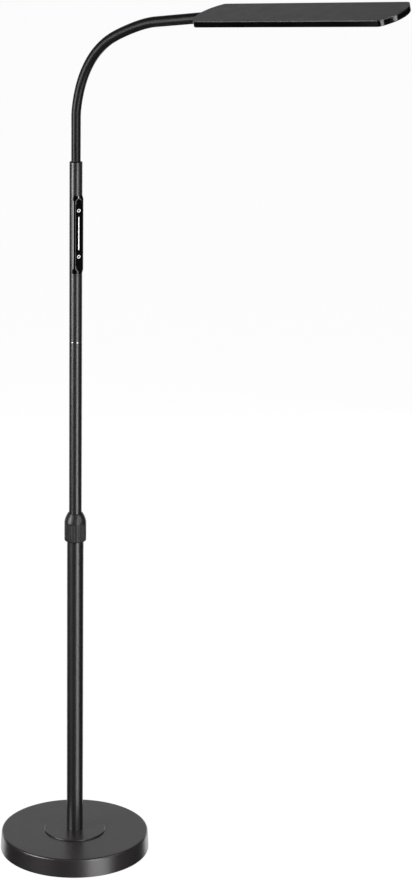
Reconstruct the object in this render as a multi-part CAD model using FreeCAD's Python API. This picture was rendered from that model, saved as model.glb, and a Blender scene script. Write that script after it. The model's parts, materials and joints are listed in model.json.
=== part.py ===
"""Gooseneck reading floor lamp: every piece as its own solid, in millimetres, +Z up.

The origin is on the floor, on the pole's axis. The neck and the head reach towards +X.
"""
import FreeCAD
import Part
import math
import os

from FreeCAD import Placement, Rotation, Vector

# ---- clearances --------------------------------------------------------------------------------
FIT = 0.05              # radial gap of two pieces of one body that are pressed or screwed together
RUNNING = 0.08          # radial gap of a piece that slides or turns on another
END_PLAY = 0.3          # gap along the axis between a turning piece and its stop

# ---- base --------------------------------------------------------------------------------------
FLOOR = 0.0
BASE_DIA = 229.0        # across the lower edge of the cover
BASE_HEIGHT = 30.0      # floor to the cover's flat top
COVER_DRAFT = 1.5       # how far the cover's wall leans in from its lower edge to its rim
COVER_WALL = 1.2
COVER_LIFT = 1.0        # floor to the cover's lower edge
RIM_RADIUS = 1.2
PAD_INSET = 9.0         # edge of the foam sheet that the lamp stands on, inside the cover's edge
PAD_THICK = 1.5
PAD_HOLE_GAP = 1.2      # round each screw head
PLATE_THICK = 1.5
PLATE_EDGE_GAP = 0.2    # round the plate in the cover
PLATE_HOLE_GAP = 0.3    # round each screw
WEIGHT_GAP = 1.5        # radial gap between the weight and the cover's wall
WEIGHT_THICK = 14.0
WEIGHT_HUB_DIA = 60.0
PLATE_SCREW_COUNT = 3
PLATE_SCREW_CIRCLE = 130.0
PLATE_SCREW_DIA = 4.0
PLATE_SCREW_LENGTH = 8.0
PLATE_SCREW_HOLE_END = 1.0  # free beyond the screw's end
PLATE_SCREW_DRIVE_DIA = 2.5
SCREW_HEAD_DIA = 7.6
SCREW_HEAD_HEIGHT = 0.9
DISC_DIA = 94.0         # raised disc round the pole's foot
DISC_RISE = 2.0
DISC_EDGE_RADIUS = 1.0

# ---- fixing of the pole in the base -------------------------------------------------------------
NIPPLE_DIA = 14.0       # hollow threaded stud
NIPPLE_BORE = 8.0
NIPPLE_ENGAGE = 24.0    # length screwed into the tube's foot plug
NUT_ACROSS_FLATS = 22.0
NUT_HEIGHT = 6.0
WASHER_DIA = 30.0
WASHER_THICK = 2.0
NUT_RECESS_DIA = 36.0
NUT_RECESS_DEPTH = 13.0
NIPPLE_BELOW_NUT = 0.5
FOOT_FLANGE = 3.0       # visible foot ring under the lower tube
FOOT_PLUG_LENGTH = 30.0

# ---- power inlet at the rear of the base ----------------------------------------------------------
INLET_HEIGHT = 13.0     # floor to the inlet's axis
INLET_BODY_DIA = 11.0
INLET_BODY_LENGTH = 15.0
INLET_FLANGE_DIA = 13.5
INLET_FLANGE_THICK = 1.5
INLET_PROUD = 0.6       # flange's inner face to the cover at the inlet's axis
INLET_END_WALL = 2.0    # body's back to the contact pin's end
INLET_PIN_SET_BACK = 1.0  # pin's end inside the socket's mouth
INLET_SOCKET_DIA = 6.2
INLET_SOCKET_DEPTH = 9.5
INLET_PIN_DIA = 2.0
INLET_NUT_DIA = 15.0
INLET_NUT_THICK = 2.0
LEAD_DIA = 3.4
LEAD_RISE = 1.0         # lead's offset from the axis where it rises through the nipple
LEAD_STRAIGHT = 8.0     # lead's level run behind the inlet
LEAD_DROP = 16.0        # and the length of its slope down into the groove
LEAD_LIFT = 0.3         # under the lead in the groove
GROOVE_WIDTH = 8.0      # groove in the weight for the lead
GROOVE_DEPTH = 10.0
POCKET_WIDTH = 18.0     # pocket in the weight for the inlet
POCKET_REACH = 18.0     # pocket's inner end beyond the inlet's back
LEAD_CORNER_SHARE = 0.45  # share of the shorter run that a lead's arc takes, at the most
LEAD_TURN = 5.0         # and the length that it takes of a long run

# ---- pole --------------------------------------------------------------------------------------
LOWER_TUBE_DIA = 25.0
LOWER_TUBE_WALL = 1.2
UPPER_TUBE_DIA = 19.0
UPPER_TUBE_WALL = 1.0
LOWER_TUBE_LENGTH = 475.0
LOCK_NUT_HEIGHT = 43.5
LOCK_NUT_WALL = 2.6     # outside the collet's thread
LOCK_NUT_DOME = 13.5    # height of its smooth shoulder
LOCK_NUT_BROW = 1.3     # flat edge round its upper hole
LOCK_NUT_BULGE = 2.1    # how far the shoulder has drawn in at its middle
LOCK_NUT_MIDDLE = 0.55  # and that middle's height as a share of the shoulder's
LOCK_NUT_CHAMFER = 1.4
LOCK_NUT_TAPER = 2.2    # thread's upper end to where its bore narrows
RIB_COUNT = 30
RIB_DEPTH = 0.55
RIB_WIDTH = 1.7
RIB_END = 0.8           # ribs' upper end below the shoulder
THREAD_STEP = 1.3       # collet's thread outside the lower tube
COLLET_SPIGOT = 26.0    # length inside the lower tube
TUBE_IN_NUT = 8.5       # how far the lower tube reaches into the nut
COLLET_THREAD = 15.0
COLLET_FINGERS = 9.0
COLLET_TIP_STEP = 1.8   # fingers' tips inside the thread
COLLET_ROOT_STEP = 0.8  # and their roots
SLIT_COUNT = 6
SLIT_WIDTH = 1.4
SLIT_START = 1.0        # fingers' roots to the slits' ends
RING_STEP = 1.05        # compression ring's edge inside the thread
RING_HEIGHT = 4.0
RING_CHAMFER = 1.0
RING_LIFT = 0.1         # ring above the fingers' tips
RING_GROOVE = 0.25      # play of the ring in the nut's groove

UPPER_TUBE_INSIDE = 216.0  # upper tube's foot below the nut's top
NUT_TO_SEAM = 264.2     # nut's top to the joint of the two upper tubes
SEAM_RING = 0.8
COUPLER_LENGTH = 44.0
COUPLER_WALL = 2.45
BUSH_LENGTH = 26.0
STOP_RING_GAP = 0.5     # round the stop ring in the lower tube
STOP_RING_HEIGHT = 2.5
FOOT_CAP_FLANGE = 2.5
FOOT_CAP_LENGTH = 14.0
LEAD_BORE = 7.0
COIL_DIA = 15.0         # coiled lead inside the lower tube
COIL_CORE = 7.0

# ---- control module in the upper tube --------------------------------------------------------------
SEAM_TO_MODULE = 103.2
MODULE_LENGTH = 115.3
MODULE_AZIMUTH = -26.0  # degrees from +X
MODULE_BACK = 1.2       # distance of its back plane from the pole's axis
MODULE_PROUD = 1.3      # its face outside the tube
MODULE_BEVEL = 3.3      # depth and
MODULE_BEVEL_WIDTH = 3.0  # width of the bevels beside its face
MODULE_DRAFT = 0.35     # how far its sides lean in
MODULE_SIDE_STEP = 0.25  # its sides inside the tube's
MODULE_END_TAPER = 8.0
MODULE_END_STEP = 0.05  # its ends outside the tube
MODULE_SWELL = 2.5      # the same between its end tapers
MODULE_END_WALL = 5.0
MODULE_SKIN = 1.9       # housing left in front of the board's pocket
POCKET_MARGIN = 0.3     # board's pocket beyond the face's edges
PANEL_MARGIN = 0.9      # round the panel in the face
PANEL_THICK = 1.0
PANEL_PROUD = 0.15
PANEL_END = 9.5         # housing end to panel end
PANEL_CORNER_SHARE = 0.7  # corner radius as a share of the panel's half width
ICON_DIA = 5.2
ICON_HOLE = 2.0
INLAY_THICK = 0.35
LOWER_ICON_INSET = 25.9  # module's lower end to the lower icon
UPPER_ICON_INSET = 21.4  # module's upper end to the upper icon
BAR_ABOVE_ICON = 9.8    # lower icon's middle to the light bar
BAR_BELOW_ICON = 9.1    # upper icon's middle to the light bar
BAR_WIDTH = 1.7
BOARD_MARGIN = 1.2      # round the board in its pocket
BOARD_THICK = 1.6
BOARD_END = 12.0

# ---- neck --------------------------------------------------------------------------------------
MODULE_TO_FERRULE = 44.1
FERRULE_HEIGHT = 4.7
FERRULE_WALL = 1.7      # round the neck in the tube
FERRULE_LIP = 1.0       # round the neck at the ferrule's top
FERRULE_PLUG = 26.0
FERRULE_FLOOR = 6.0     # solid end of the plug under the neck
FERRULE_CHAMFER = 0.8
FERRULE_GROOVE = 0.6
NECK_SWELL = 1.4        # how much wider the sleeve is at the head than at the pole
NECK_BORE = 7.0
BALL_GAP = 0.3          # between a link's ball and the next link's cup
RIM_HEIGHT = 2.7        # cup's rim above the ball's centre
NECK_PITCH = 8.75       # degrees above level of its last stretch
# Each link is named by the motion at its lower end and has its length to the next joint.
NECK_LINKS = [
    ("sway", 25.8),
    ("bend", 39.0),
    ("bend", 17.2),
    ("sway", 17.2),
    ("bend", 29.6),
    ("bend", 32.5),
    ("bend", 28.5),
    ("sway", 32.0),
    ("bend", 38.0),
]
NECK_ROOT_LENGTH = 51.3  # ferrule's top to the first joint
NECK_TIP_LENGTH = 63.5   # last joint to the head's end

# ---- head --------------------------------------------------------------------------------------
HEAD_LENGTH = 333.0
HEAD_WIDTH = 75.0
HEAD_THICK = 9.0
HEAD_SAGITTA = 14.5     # how far the curved ends bulge
HEAD_CORNER = 8.0
HEAD_CORNER_LEAST = 1.0  # of the pieces inside it
HEAD_PITCH = 5.2        # degrees above level
HEAD_ROLL = 13.9        # degrees about its long axis
HEAD_RISE = 3.0         # its middle plane above the neck's axis
TOP_PLATE_THICK = 1.2
TOP_EDGE_RADIUS = 0.5
SHELL_WALL = 1.6
LIP_THICK = 1.0
LIP_WIDTH = 5.0
DIFFUSER_THICK = 1.2
DIFFUSER_INSET = 1.8
FRAME_INSET = 9.0       # outer edge of the reflector frame
FRAME_WALL = 3.0
LED_BOARD_THICK = 1.0
LED_BOARD_INSET = 9.4
SPREADER_THICK = 1.4
CHIP_COUNT = 20
CHIP_ROWS = 2
CHIP_LENGTH = 3.5
CHIP_WIDTH = 2.8
CHIP_THICK = 0.7
CHIP_ROW_GAP = 24.0
CHIP_END = 47.75        # head's end to the first chip's middle
BOSS_DIA = 5.0
BOSS_INSET = 5.2
BOSS_GAP = 0.3          # diffuser to the screw posts
BOSS_WEB = 2.0
HEAD_SCREW_DIA = 2.0
HEAD_SCREW_HEAD = 3.6
HEAD_SCREW_HEAD_HEIGHT = 0.8
HEAD_SCREW_BITE = 0.6   # screw's end in the top plate
HEAD_SCREW_STATIONS = (-0.8, 0.0, 0.8)  # along the straight sides, as shares of their half length
TANG_WIDTH = 10.0
TANG_INSIDE = 30.0
TANG_CLEAR = 0.2
TANG_ROOT = 1.5         # tang's length inside the neck's end
TANG_ROOM = 2.0         # free beyond the tang's end
ANCHOR_THICK = 0.8
ANCHOR_ROOM = 1.0       # free beside the anchor
ANCHOR_LENGTH = 22.0
ANCHOR_WIDTH = 20.0
TANG_SCREW_DIA = 2.5
TANG_SCREW_HEAD = 4.6
TANG_SCREW_HEAD_HEIGHT = 0.8
TANG_SCREW_PITCH = 11.0
TANG_SCREW_INSET = 12.0  # head's end to the first screw
TANG_SCREW_ROOM = 0.4   # diffuser to the screws' heads

# ---- worked out from the sizes above ---------------------------------------------------------------
BASE_TOP_DIA = BASE_DIA - 2 * COVER_DRAFT
PAD_DIA = BASE_DIA - 2 * PAD_INSET
PLATE_BOTTOM = FLOOR + PAD_THICK
PLATE_TOP = PLATE_BOTTOM + PLATE_THICK
COVER_UNDER = BASE_HEIGHT - COVER_WALL
DISC_TOP = BASE_HEIGHT + DISC_RISE
WEIGHT_DIA = BASE_TOP_DIA - 2 * COVER_WALL - 2 * WEIGHT_GAP
RECESS_TOP = PLATE_TOP + NUT_RECESS_DEPTH
TUBE_FOOT = DISC_TOP + FOOT_FLANGE
NIPPLE_BOTTOM = RECESS_TOP - WASHER_THICK - NUT_HEIGHT - NIPPLE_BELOW_NUT
NIPPLE_TOP = TUBE_FOOT + NIPPLE_ENGAGE
PLUG_TOP = TUBE_FOOT + FOOT_PLUG_LENGTH
LOWER_TUBE_BORE = LOWER_TUBE_DIA - 2 * LOWER_TUBE_WALL
UPPER_TUBE_BORE = UPPER_TUBE_DIA - 2 * UPPER_TUBE_WALL
UPPER_TUBE_RADIUS = UPPER_TUBE_DIA / 2
LOWER_TUBE_TOP = TUBE_FOOT + LOWER_TUBE_LENGTH
THREAD_DIA = LOWER_TUBE_DIA + 2 * THREAD_STEP
LOCK_NUT_DIA = THREAD_DIA + 2 * LOCK_NUT_WALL
RING_DIA = THREAD_DIA - 2 * RING_STEP
FINGERS_BOTTOM = LOWER_TUBE_TOP + COLLET_THREAD
FINGERS_TOP = FINGERS_BOTTOM + COLLET_FINGERS
RING_BOTTOM = FINGERS_TOP + RING_LIFT
NUT_BOTTOM = LOWER_TUBE_TOP - TUBE_IN_NUT
NUT_TOP = NUT_BOTTOM + LOCK_NUT_HEIGHT
GUIDE_BORE = UPPER_TUBE_DIA + 2 * RUNNING
UPPER_TUBE_FOOT = NUT_TOP - UPPER_TUBE_INSIDE
STOP_RING_DIA = LOWER_TUBE_BORE - 2 * STOP_RING_GAP
BUSH_BOTTOM = UPPER_TUBE_FOOT + END_PLAY
SEAM_HEIGHT = NUT_TOP + NUT_TO_SEAM
COUPLER_BORE = UPPER_TUBE_BORE - 2 * FIT - 2 * COUPLER_WALL
MODULE_BOTTOM = SEAM_HEIGHT + SEAM_TO_MODULE
MODULE_TOP = MODULE_BOTTOM + MODULE_LENGTH
MODULE_FACE = UPPER_TUBE_RADIUS + MODULE_PROUD
MODULE_SHOULDER = MODULE_FACE - MODULE_BEVEL
MODULE_BACK_HALF = UPPER_TUBE_RADIUS - MODULE_SIDE_STEP
MODULE_SHOULDER_HALF = MODULE_BACK_HALF - MODULE_DRAFT
MODULE_FACE_HALF = MODULE_SHOULDER_HALF - MODULE_BEVEL_WIDTH
PANEL_HALF = MODULE_FACE_HALF - PANEL_MARGIN
MODULE_POCKET_HALF = MODULE_FACE_HALF + POCKET_MARGIN
BOARD_HALF = MODULE_POCKET_HALF - BOARD_MARGIN
LOWER_ICON_HEIGHT = MODULE_BOTTOM + LOWER_ICON_INSET
UPPER_ICON_HEIGHT = MODULE_TOP - UPPER_ICON_INSET
BAR_BOTTOM = LOWER_ICON_HEIGHT + BAR_ABOVE_ICON
BAR_TOP = UPPER_ICON_HEIGHT - BAR_BELOW_ICON
FERRULE_BOTTOM = MODULE_TOP + MODULE_TO_FERRULE
FERRULE_TOP = FERRULE_BOTTOM + FERRULE_HEIGHT
NECK_ROOT_DIA = UPPER_TUBE_BORE - 2 * FERRULE_WALL
NECK_TIP_DIA = NECK_ROOT_DIA + NECK_SWELL
HEAD_STRAIGHT = HEAD_LENGTH - 2 * HEAD_SAGITTA
NECK_SEAT = FERRULE_BOTTOM - FERRULE_PLUG + FERRULE_FLOOR
NECK_BENDS = sum(1 for kind, _ in NECK_LINKS if kind == "bend")
BEND_STEP = (90.0 - NECK_PITCH) / NECK_BENDS


# ---- basic shapes ----------------------------------------------------------------------------------
def rod(dia, bottom, top):
    return Part.makeCylinder(dia / 2, top - bottom, Vector(0, 0, bottom))


def tube(dia, bore, bottom, top):
    return rod(dia, bottom, top).cut(rod(bore, bottom - 1, top + 1))


def turned(points):
    """Solid of revolution about Z of a closed outline of (radius, height) points."""
    corners = [Vector(r, 0, z) for r, z in points]
    face = Part.Face(Part.makePolygon(corners + corners[:1]))
    return face.revolve(Vector(0, 0, 0), Vector(0, 0, 1), 360)


def box(x0, x1, y0, y1, z0, z1):
    return Part.makeBox(x1 - x0, y1 - y0, z1 - z0, Vector(x0, y0, z0))


def turned_to(shape, angle):
    return shape.rotated(Vector(0, 0, 0), Vector(0, 0, 1), angle)


def round_copies(shape, count):
    """Copies of a shape turned evenly about Z."""
    return [turned_to(shape, 360.0 * k / count) for k in range(count)]


def at_radius(shape, radius):
    return shape.translated(Vector(radius, 0, 0))


def edges_near(shape, test):
    return [edge for edge in shape.Edges if test(edge)]


def circle_at(height, radius, tolerance=0.02):
    """Test for a whole circular edge of one radius at one height."""
    def test(edge):
        curve = edge.Curve
        return (isinstance(curve, Part.Circle) and abs(curve.Radius - radius) < tolerance
                and abs(curve.Center.z - height) < tolerance)
    return test


# ---- base ------------------------------------------------------------------------------------------
def cover_radius(height):
    """Outer radius of the slightly flared cover at a height."""
    share = (height - COVER_LIFT) / (BASE_HEIGHT - COVER_LIFT)
    return BASE_DIA / 2 - COVER_DRAFT * share


def inlet_axis(dia, near, far):
    """Rod along the inlet's axis, from one distance behind the pole to a larger one."""
    return Part.makeCylinder(dia / 2, far - near, Vector(-near, 0, INLET_HEIGHT), Vector(-1, 0, 0))


INLET_OUTSIDE = cover_radius(INLET_HEIGHT)
INLET_FLAT = math.sqrt((cover_radius(INLET_HEIGHT + INLET_FLANGE_DIA / 2) - COVER_WALL) ** 2
                       - (INLET_NUT_DIA / 2) ** 2)
INLET_SEAT = INLET_OUTSIDE + INLET_PROUD
INLET_INNER = INLET_SEAT - INLET_BODY_LENGTH
INLET_MOUTH = INLET_SEAT + INLET_FLANGE_THICK


def base_cover():
    top = BASE_TOP_DIA / 2
    foot = BASE_DIA / 2
    hole = NIPPLE_DIA / 2 + FIT
    shell = turned([(foot, COVER_LIFT), (top, BASE_HEIGHT), (hole, BASE_HEIGHT), (hole, COVER_UNDER),
                    (top - COVER_WALL, COVER_UNDER), (foot - COVER_WALL, COVER_LIFT)])
    rim = edges_near(shell, circle_at(BASE_HEIGHT, top))
    shell = shell.makeFillet(RIM_RADIUS, rim)
    return shell.cut(inlet_axis(INLET_BODY_DIA + 2 * FIT, INLET_INNER, INLET_OUTSIDE + 5))


def base_centre_disc():
    disc = tube(DISC_DIA, NIPPLE_DIA + 2 * FIT, BASE_HEIGHT, DISC_TOP)
    return disc.makeFillet(DISC_EDGE_RADIUS, edges_near(disc, circle_at(DISC_TOP, DISC_DIA / 2)))


def base_weight():
    body = rod(WEIGHT_DIA, PLATE_TOP, PLATE_TOP + WEIGHT_THICK)
    body = body.fuse(rod(WEIGHT_HUB_DIA, PLATE_TOP, COVER_UNDER)).removeSplitter()
    body = body.cut(rod(NIPPLE_DIA + 2 * FIT, FLOOR, BASE_HEIGHT))
    body = body.cut(rod(NUT_RECESS_DIA, PLATE_TOP - 1, RECESS_TOP))
    body = body.cut(box(-WEIGHT_DIA / 2 - 1, 0, -GROOVE_WIDTH / 2, GROOVE_WIDTH / 2,
                        PLATE_TOP - 1, PLATE_TOP + GROOVE_DEPTH))
    pocket = box(-WEIGHT_DIA / 2 - 1, -INLET_INNER + POCKET_REACH, -POCKET_WIDTH / 2, POCKET_WIDTH / 2,
                 PLATE_TOP - 1, PLATE_TOP + WEIGHT_THICK + 1)
    body = body.cut(pocket)
    hole_end = PLATE_TOP + PLATE_SCREW_LENGTH + PLATE_SCREW_HOLE_END
    hole = at_radius(rod(PLATE_SCREW_DIA + 2 * FIT, PLATE_TOP - 1, hole_end), PLATE_SCREW_CIRCLE / 2)
    for copy in round_copies(hole, PLATE_SCREW_COUNT):
        body = body.cut(copy)
    return body


def base_plate():
    radius = cover_radius(PLATE_TOP) - COVER_WALL - PLATE_EDGE_GAP
    plate = rod(2 * radius, PLATE_BOTTOM, PLATE_TOP)
    hole = rod(PLATE_SCREW_DIA + 2 * PLATE_HOLE_GAP, FLOOR, PLATE_TOP + 1)
    hole = at_radius(hole, PLATE_SCREW_CIRCLE / 2)
    for copy in round_copies(hole, PLATE_SCREW_COUNT):
        plate = plate.cut(copy)
    return plate


def base_screws():
    head = rod(SCREW_HEAD_DIA, PLATE_BOTTOM - SCREW_HEAD_HEIGHT, PLATE_BOTTOM)
    shank = rod(PLATE_SCREW_DIA, PLATE_BOTTOM, PLATE_TOP + PLATE_SCREW_LENGTH)
    drive = rod(PLATE_SCREW_DRIVE_DIA, FLOOR, PLATE_BOTTOM - SCREW_HEAD_HEIGHT / 2)
    screw = at_radius(head.fuse(shank).cut(drive), PLATE_SCREW_CIRCLE / 2)
    return Part.makeCompound(round_copies(screw, PLATE_SCREW_COUNT))


def base_foot_pad():
    pad = rod(PAD_DIA, FLOOR, PLATE_BOTTOM)
    hole = at_radius(rod(SCREW_HEAD_DIA + 2 * PAD_HOLE_GAP, FLOOR - 1, PLATE_TOP), PLATE_SCREW_CIRCLE / 2)
    for copy in round_copies(hole, PLATE_SCREW_COUNT):
        pad = pad.cut(copy)
    return pad


def pole_nipple():
    return tube(NIPPLE_DIA, NIPPLE_BORE, NIPPLE_BOTTOM, NIPPLE_TOP)


def nipple_washer():
    return tube(WASHER_DIA, NIPPLE_DIA + 2 * FIT, RECESS_TOP - WASHER_THICK, RECESS_TOP)


def nipple_nut():
    corner = NUT_ACROSS_FLATS / math.sqrt(3)
    top = RECESS_TOP - WASHER_THICK
    points = [Vector(corner * math.cos(math.radians(60 * k)), corner * math.sin(math.radians(60 * k)),
                     top - NUT_HEIGHT) for k in range(6)]
    hexagon = Part.Face(Part.makePolygon(points + points[:1])).extrude(Vector(0, 0, NUT_HEIGHT))
    return hexagon.cut(rod(NIPPLE_DIA + 2 * FIT, FLOOR, top + 1))


def power_inlet():
    body = inlet_axis(INLET_BODY_DIA, INLET_INNER, INLET_SEAT)
    flange = inlet_axis(INLET_FLANGE_DIA, INLET_SEAT, INLET_MOUTH)
    socket = inlet_axis(INLET_SOCKET_DIA, INLET_MOUTH - INLET_SOCKET_DEPTH, INLET_MOUTH + 1)
    pin_hole = inlet_axis(INLET_PIN_DIA + 2 * FIT, INLET_INNER + INLET_END_WALL, INLET_MOUTH)
    return body.fuse(flange).removeSplitter().cut(socket).cut(pin_hole)


def inlet_contact_pin():
    return inlet_axis(INLET_PIN_DIA, INLET_INNER + INLET_END_WALL, INLET_MOUTH - INLET_PIN_SET_BACK)


def inlet_nut():
    ring = inlet_axis(INLET_NUT_DIA, INLET_FLAT - INLET_NUT_THICK, INLET_FLAT)
    return ring.cut(inlet_axis(INLET_BODY_DIA + 2 * FIT, INLET_INNER - 1, INLET_OUTSIDE))


def lead_along(points, dia):
    """Round lead along straight runs joined by tangent arcs."""
    edges = []
    last = points[0]
    for before, corner, after in zip(points, points[1:], points[2:]):
        back = before - corner
        onward = after - corner
        trim = min(LEAD_CORNER_SHARE * min(back.Length, onward.Length), LEAD_TURN)
        half_turn = (math.pi - back.getAngle(onward)) / 2
        radius = trim / math.tan(half_turn)
        inward = (back.normalize() + onward.normalize()).normalize()
        middle = corner + inward * (radius / math.cos(half_turn) - radius)
        start = corner + back * trim
        end = corner + onward * trim
        edges.append(Part.LineSegment(last, start).toShape())
        edges.append(Part.Arc(start, middle, end).toShape())
        last = end
    edges.append(Part.LineSegment(last, points[-1]).toShape())
    section = Part.Wire(Part.makeCircle(dia / 2, points[0], points[1] - points[0]))
    return Part.Wire(edges).makePipeShell([section], True, False)


def base_lead():
    """Lead from the inlet's back along the weight's groove and up through the nipple."""
    low = PLATE_TOP + LEAD_DIA / 2 + LEAD_LIFT
    slope = LEAD_STRAIGHT - INLET_INNER
    return lead_along([Vector(-INLET_INNER, 0, INLET_HEIGHT), Vector(slope, 0, INLET_HEIGHT),
                       Vector(slope + LEAD_DROP, 0, low), Vector(-LEAD_RISE, 0, low),
                       Vector(-LEAD_RISE, 0, PLUG_TOP)], LEAD_DIA)


# ---- pole: fixed lower part ------------------------------------------------------------------------
def tube_foot_plug():
    flange = rod(LOWER_TUBE_DIA, DISC_TOP, TUBE_FOOT)
    spigot = rod(LOWER_TUBE_BORE - 2 * FIT, TUBE_FOOT, PLUG_TOP)
    body = flange.fuse(spigot)
    body = body.cut(rod(NIPPLE_DIA + 2 * FIT, DISC_TOP - 1, NIPPLE_TOP))
    return body.cut(rod(NIPPLE_BORE, DISC_TOP, PLUG_TOP + 1))


def lower_tube():
    return tube(LOWER_TUBE_DIA, LOWER_TUBE_BORE, TUBE_FOOT, LOWER_TUBE_TOP)


def collet_body():
    spigot = LOWER_TUBE_BORE / 2 - FIT
    thread = THREAD_DIA / 2
    tip = thread - COLLET_TIP_STEP
    root = thread - COLLET_ROOT_STEP
    bore = GUIDE_BORE / 2
    body = turned([(bore, LOWER_TUBE_TOP - COLLET_SPIGOT), (spigot, LOWER_TUBE_TOP - COLLET_SPIGOT),
                   (spigot, LOWER_TUBE_TOP), (thread, LOWER_TUBE_TOP), (thread, FINGERS_BOTTOM),
                   (root, FINGERS_BOTTOM), (tip, FINGERS_TOP), (bore, FINGERS_TOP)])
    slit = box(0, THREAD_DIA, -SLIT_WIDTH / 2, SLIT_WIDTH / 2, FINGERS_BOTTOM + SLIT_START, FINGERS_TOP + 1)
    for copy in round_copies(slit, SLIT_COUNT):
        body = body.cut(copy)
    return body


def compression_ring():
    outer = RING_DIA / 2
    ring = turned([(GUIDE_BORE / 2, RING_BOTTOM), (outer, RING_BOTTOM),
                   (outer, RING_BOTTOM + RING_HEIGHT / 2), (outer - RING_CHAMFER, RING_BOTTOM + RING_HEIGHT),
                   (GUIDE_BORE / 2, RING_BOTTOM + RING_HEIGHT)])
    return ring.cut(box(0, RING_DIA, -SLIT_WIDTH / 2, SLIT_WIDTH / 2,
                        RING_BOTTOM - 1, RING_BOTTOM + RING_HEIGHT + 1))


def lock_nut():
    """Ribbed nut: from its upper hole down the inside, round the foot and up to the shoulder's arc."""
    outer = LOCK_NUT_DIA / 2
    neck = GUIDE_BORE / 2 + 2 * RUNNING
    dome_bottom = NUT_TOP - LOCK_NUT_DOME
    ring_top = RING_BOTTOM + RING_HEIGHT + RING_GROOVE
    ring_wall = RING_DIA / 2 + RING_GROOVE
    bore = THREAD_DIA / 2 + RUNNING
    corners = [Vector(neck + LOCK_NUT_BROW, 0, NUT_TOP), Vector(neck, 0, NUT_TOP),
               Vector(neck, 0, ring_top), Vector(ring_wall, 0, ring_top),
               Vector(ring_wall, 0, RING_BOTTOM - RING_GROOVE),
               Vector(bore, 0, FINGERS_BOTTOM + LOCK_NUT_TAPER), Vector(bore, 0, NUT_BOTTOM),
               Vector(outer - LOCK_NUT_CHAMFER, 0, NUT_BOTTOM),
               Vector(outer, 0, NUT_BOTTOM + LOCK_NUT_CHAMFER), Vector(outer, 0, dome_bottom)]
    middle = Vector(outer - LOCK_NUT_BULGE, 0, dome_bottom + LOCK_NUT_DOME * LOCK_NUT_MIDDLE)
    shoulder = Part.Arc(corners[-1], middle, corners[0]).toShape()
    wire = Part.Wire(Part.makePolygon(corners).Edges + [shoulder])
    body = Part.Face(wire).revolve(Vector(0, 0, 0), Vector(0, 0, 1), 360)
    groove = box(outer - RIB_DEPTH, outer + RIB_DEPTH, -RIB_WIDTH / 2, RIB_WIDTH / 2,
                 NUT_BOTTOM - 1, dome_bottom - RIB_END)
    for copy in round_copies(groove, RIB_COUNT):
        body = body.cut(copy)
    return body


# ---- pole: sliding upper part ----------------------------------------------------------------------
def guide_bush():
    return tube(LOWER_TUBE_BORE - 2 * RUNNING, GUIDE_BORE, BUSH_BOTTOM, BUSH_BOTTOM + BUSH_LENGTH)


def pole_foot_cap():
    flange = rod(STOP_RING_DIA, UPPER_TUBE_FOOT - FOOT_CAP_FLANGE, UPPER_TUBE_FOOT)
    plug = rod(UPPER_TUBE_BORE - 2 * FIT, UPPER_TUBE_FOOT, UPPER_TUBE_FOOT + FOOT_CAP_LENGTH)
    return flange.fuse(plug).cut(rod(LEAD_BORE, UPPER_TUBE_FOOT - 5, UPPER_TUBE_FOOT + FOOT_CAP_LENGTH + 1))


def bush_stop_ring():
    bottom = BUSH_BOTTOM + BUSH_LENGTH + END_PLAY
    return tube(STOP_RING_DIA, UPPER_TUBE_DIA + 2 * FIT, bottom, bottom + STOP_RING_HEIGHT)


def upper_tube_lower():
    return tube(UPPER_TUBE_DIA, UPPER_TUBE_BORE, UPPER_TUBE_FOOT, SEAM_HEIGHT - SEAM_RING / 2)


def tube_coupler():
    """Steel sleeve in both upper tubes, with a thin ring that shows between them."""
    reach = COUPLER_LENGTH / 2
    sleeve = rod(UPPER_TUBE_BORE - 2 * FIT, SEAM_HEIGHT - reach, SEAM_HEIGHT + reach)
    ring = rod(UPPER_TUBE_DIA, SEAM_HEIGHT - SEAM_RING / 2, SEAM_HEIGHT + SEAM_RING / 2)
    return sleeve.fuse(ring).cut(rod(COUPLER_BORE, SEAM_HEIGHT - reach - 1, SEAM_HEIGHT + reach + 1))


def on_module(shape):
    """Turn a piece built facing +X to the side that the control module faces."""
    return turned_to(shape, MODULE_AZIMUTH)


def upper_tube_upper():
    body = tube(UPPER_TUBE_DIA, UPPER_TUBE_BORE, SEAM_HEIGHT + SEAM_RING / 2, FERRULE_BOTTOM)
    window = box(MODULE_BACK - FIT, UPPER_TUBE_DIA, -UPPER_TUBE_DIA, UPPER_TUBE_DIA,
                 MODULE_BOTTOM - FIT, MODULE_TOP + FIT)
    return body.cut(on_module(window))


def module_block():
    """Prism of the module's section over its whole length."""
    half = [(MODULE_BACK, MODULE_BACK_HALF), (MODULE_SHOULDER, MODULE_SHOULDER_HALF),
            (MODULE_FACE, MODULE_FACE_HALF)]
    section = [(x, -y) for x, y in half] + half[::-1]
    corners = [Vector(x, y, MODULE_BOTTOM) for x, y in section]
    face = Part.Face(Part.makePolygon(corners + corners[:1]))
    return face.extrude(Vector(0, 0, MODULE_TOP - MODULE_BOTTOM))


def control_housing():
    block = module_block()
    end = UPPER_TUBE_RADIUS + MODULE_END_STEP
    swell = UPPER_TUBE_RADIUS + MODULE_SWELL
    barrel = turned([(0, MODULE_BOTTOM), (end, MODULE_BOTTOM), (swell, MODULE_BOTTOM + MODULE_END_TAPER),
                     (swell, MODULE_TOP - MODULE_END_TAPER), (end, MODULE_TOP), (0, MODULE_TOP)])
    body = block.common(barrel).cut(rod(LEAD_DIA + 4 * FIT, MODULE_BOTTOM - 1, MODULE_TOP + 1))
    pocket = box(MODULE_BACK - 1, MODULE_FACE - PANEL_THICK - MODULE_SKIN, -MODULE_POCKET_HALF,
                 MODULE_POCKET_HALF, MODULE_BOTTOM + MODULE_END_WALL, MODULE_TOP - MODULE_END_WALL)
    return on_module(body.cut(pocket).cut(panel_blank(FIT)))


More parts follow.
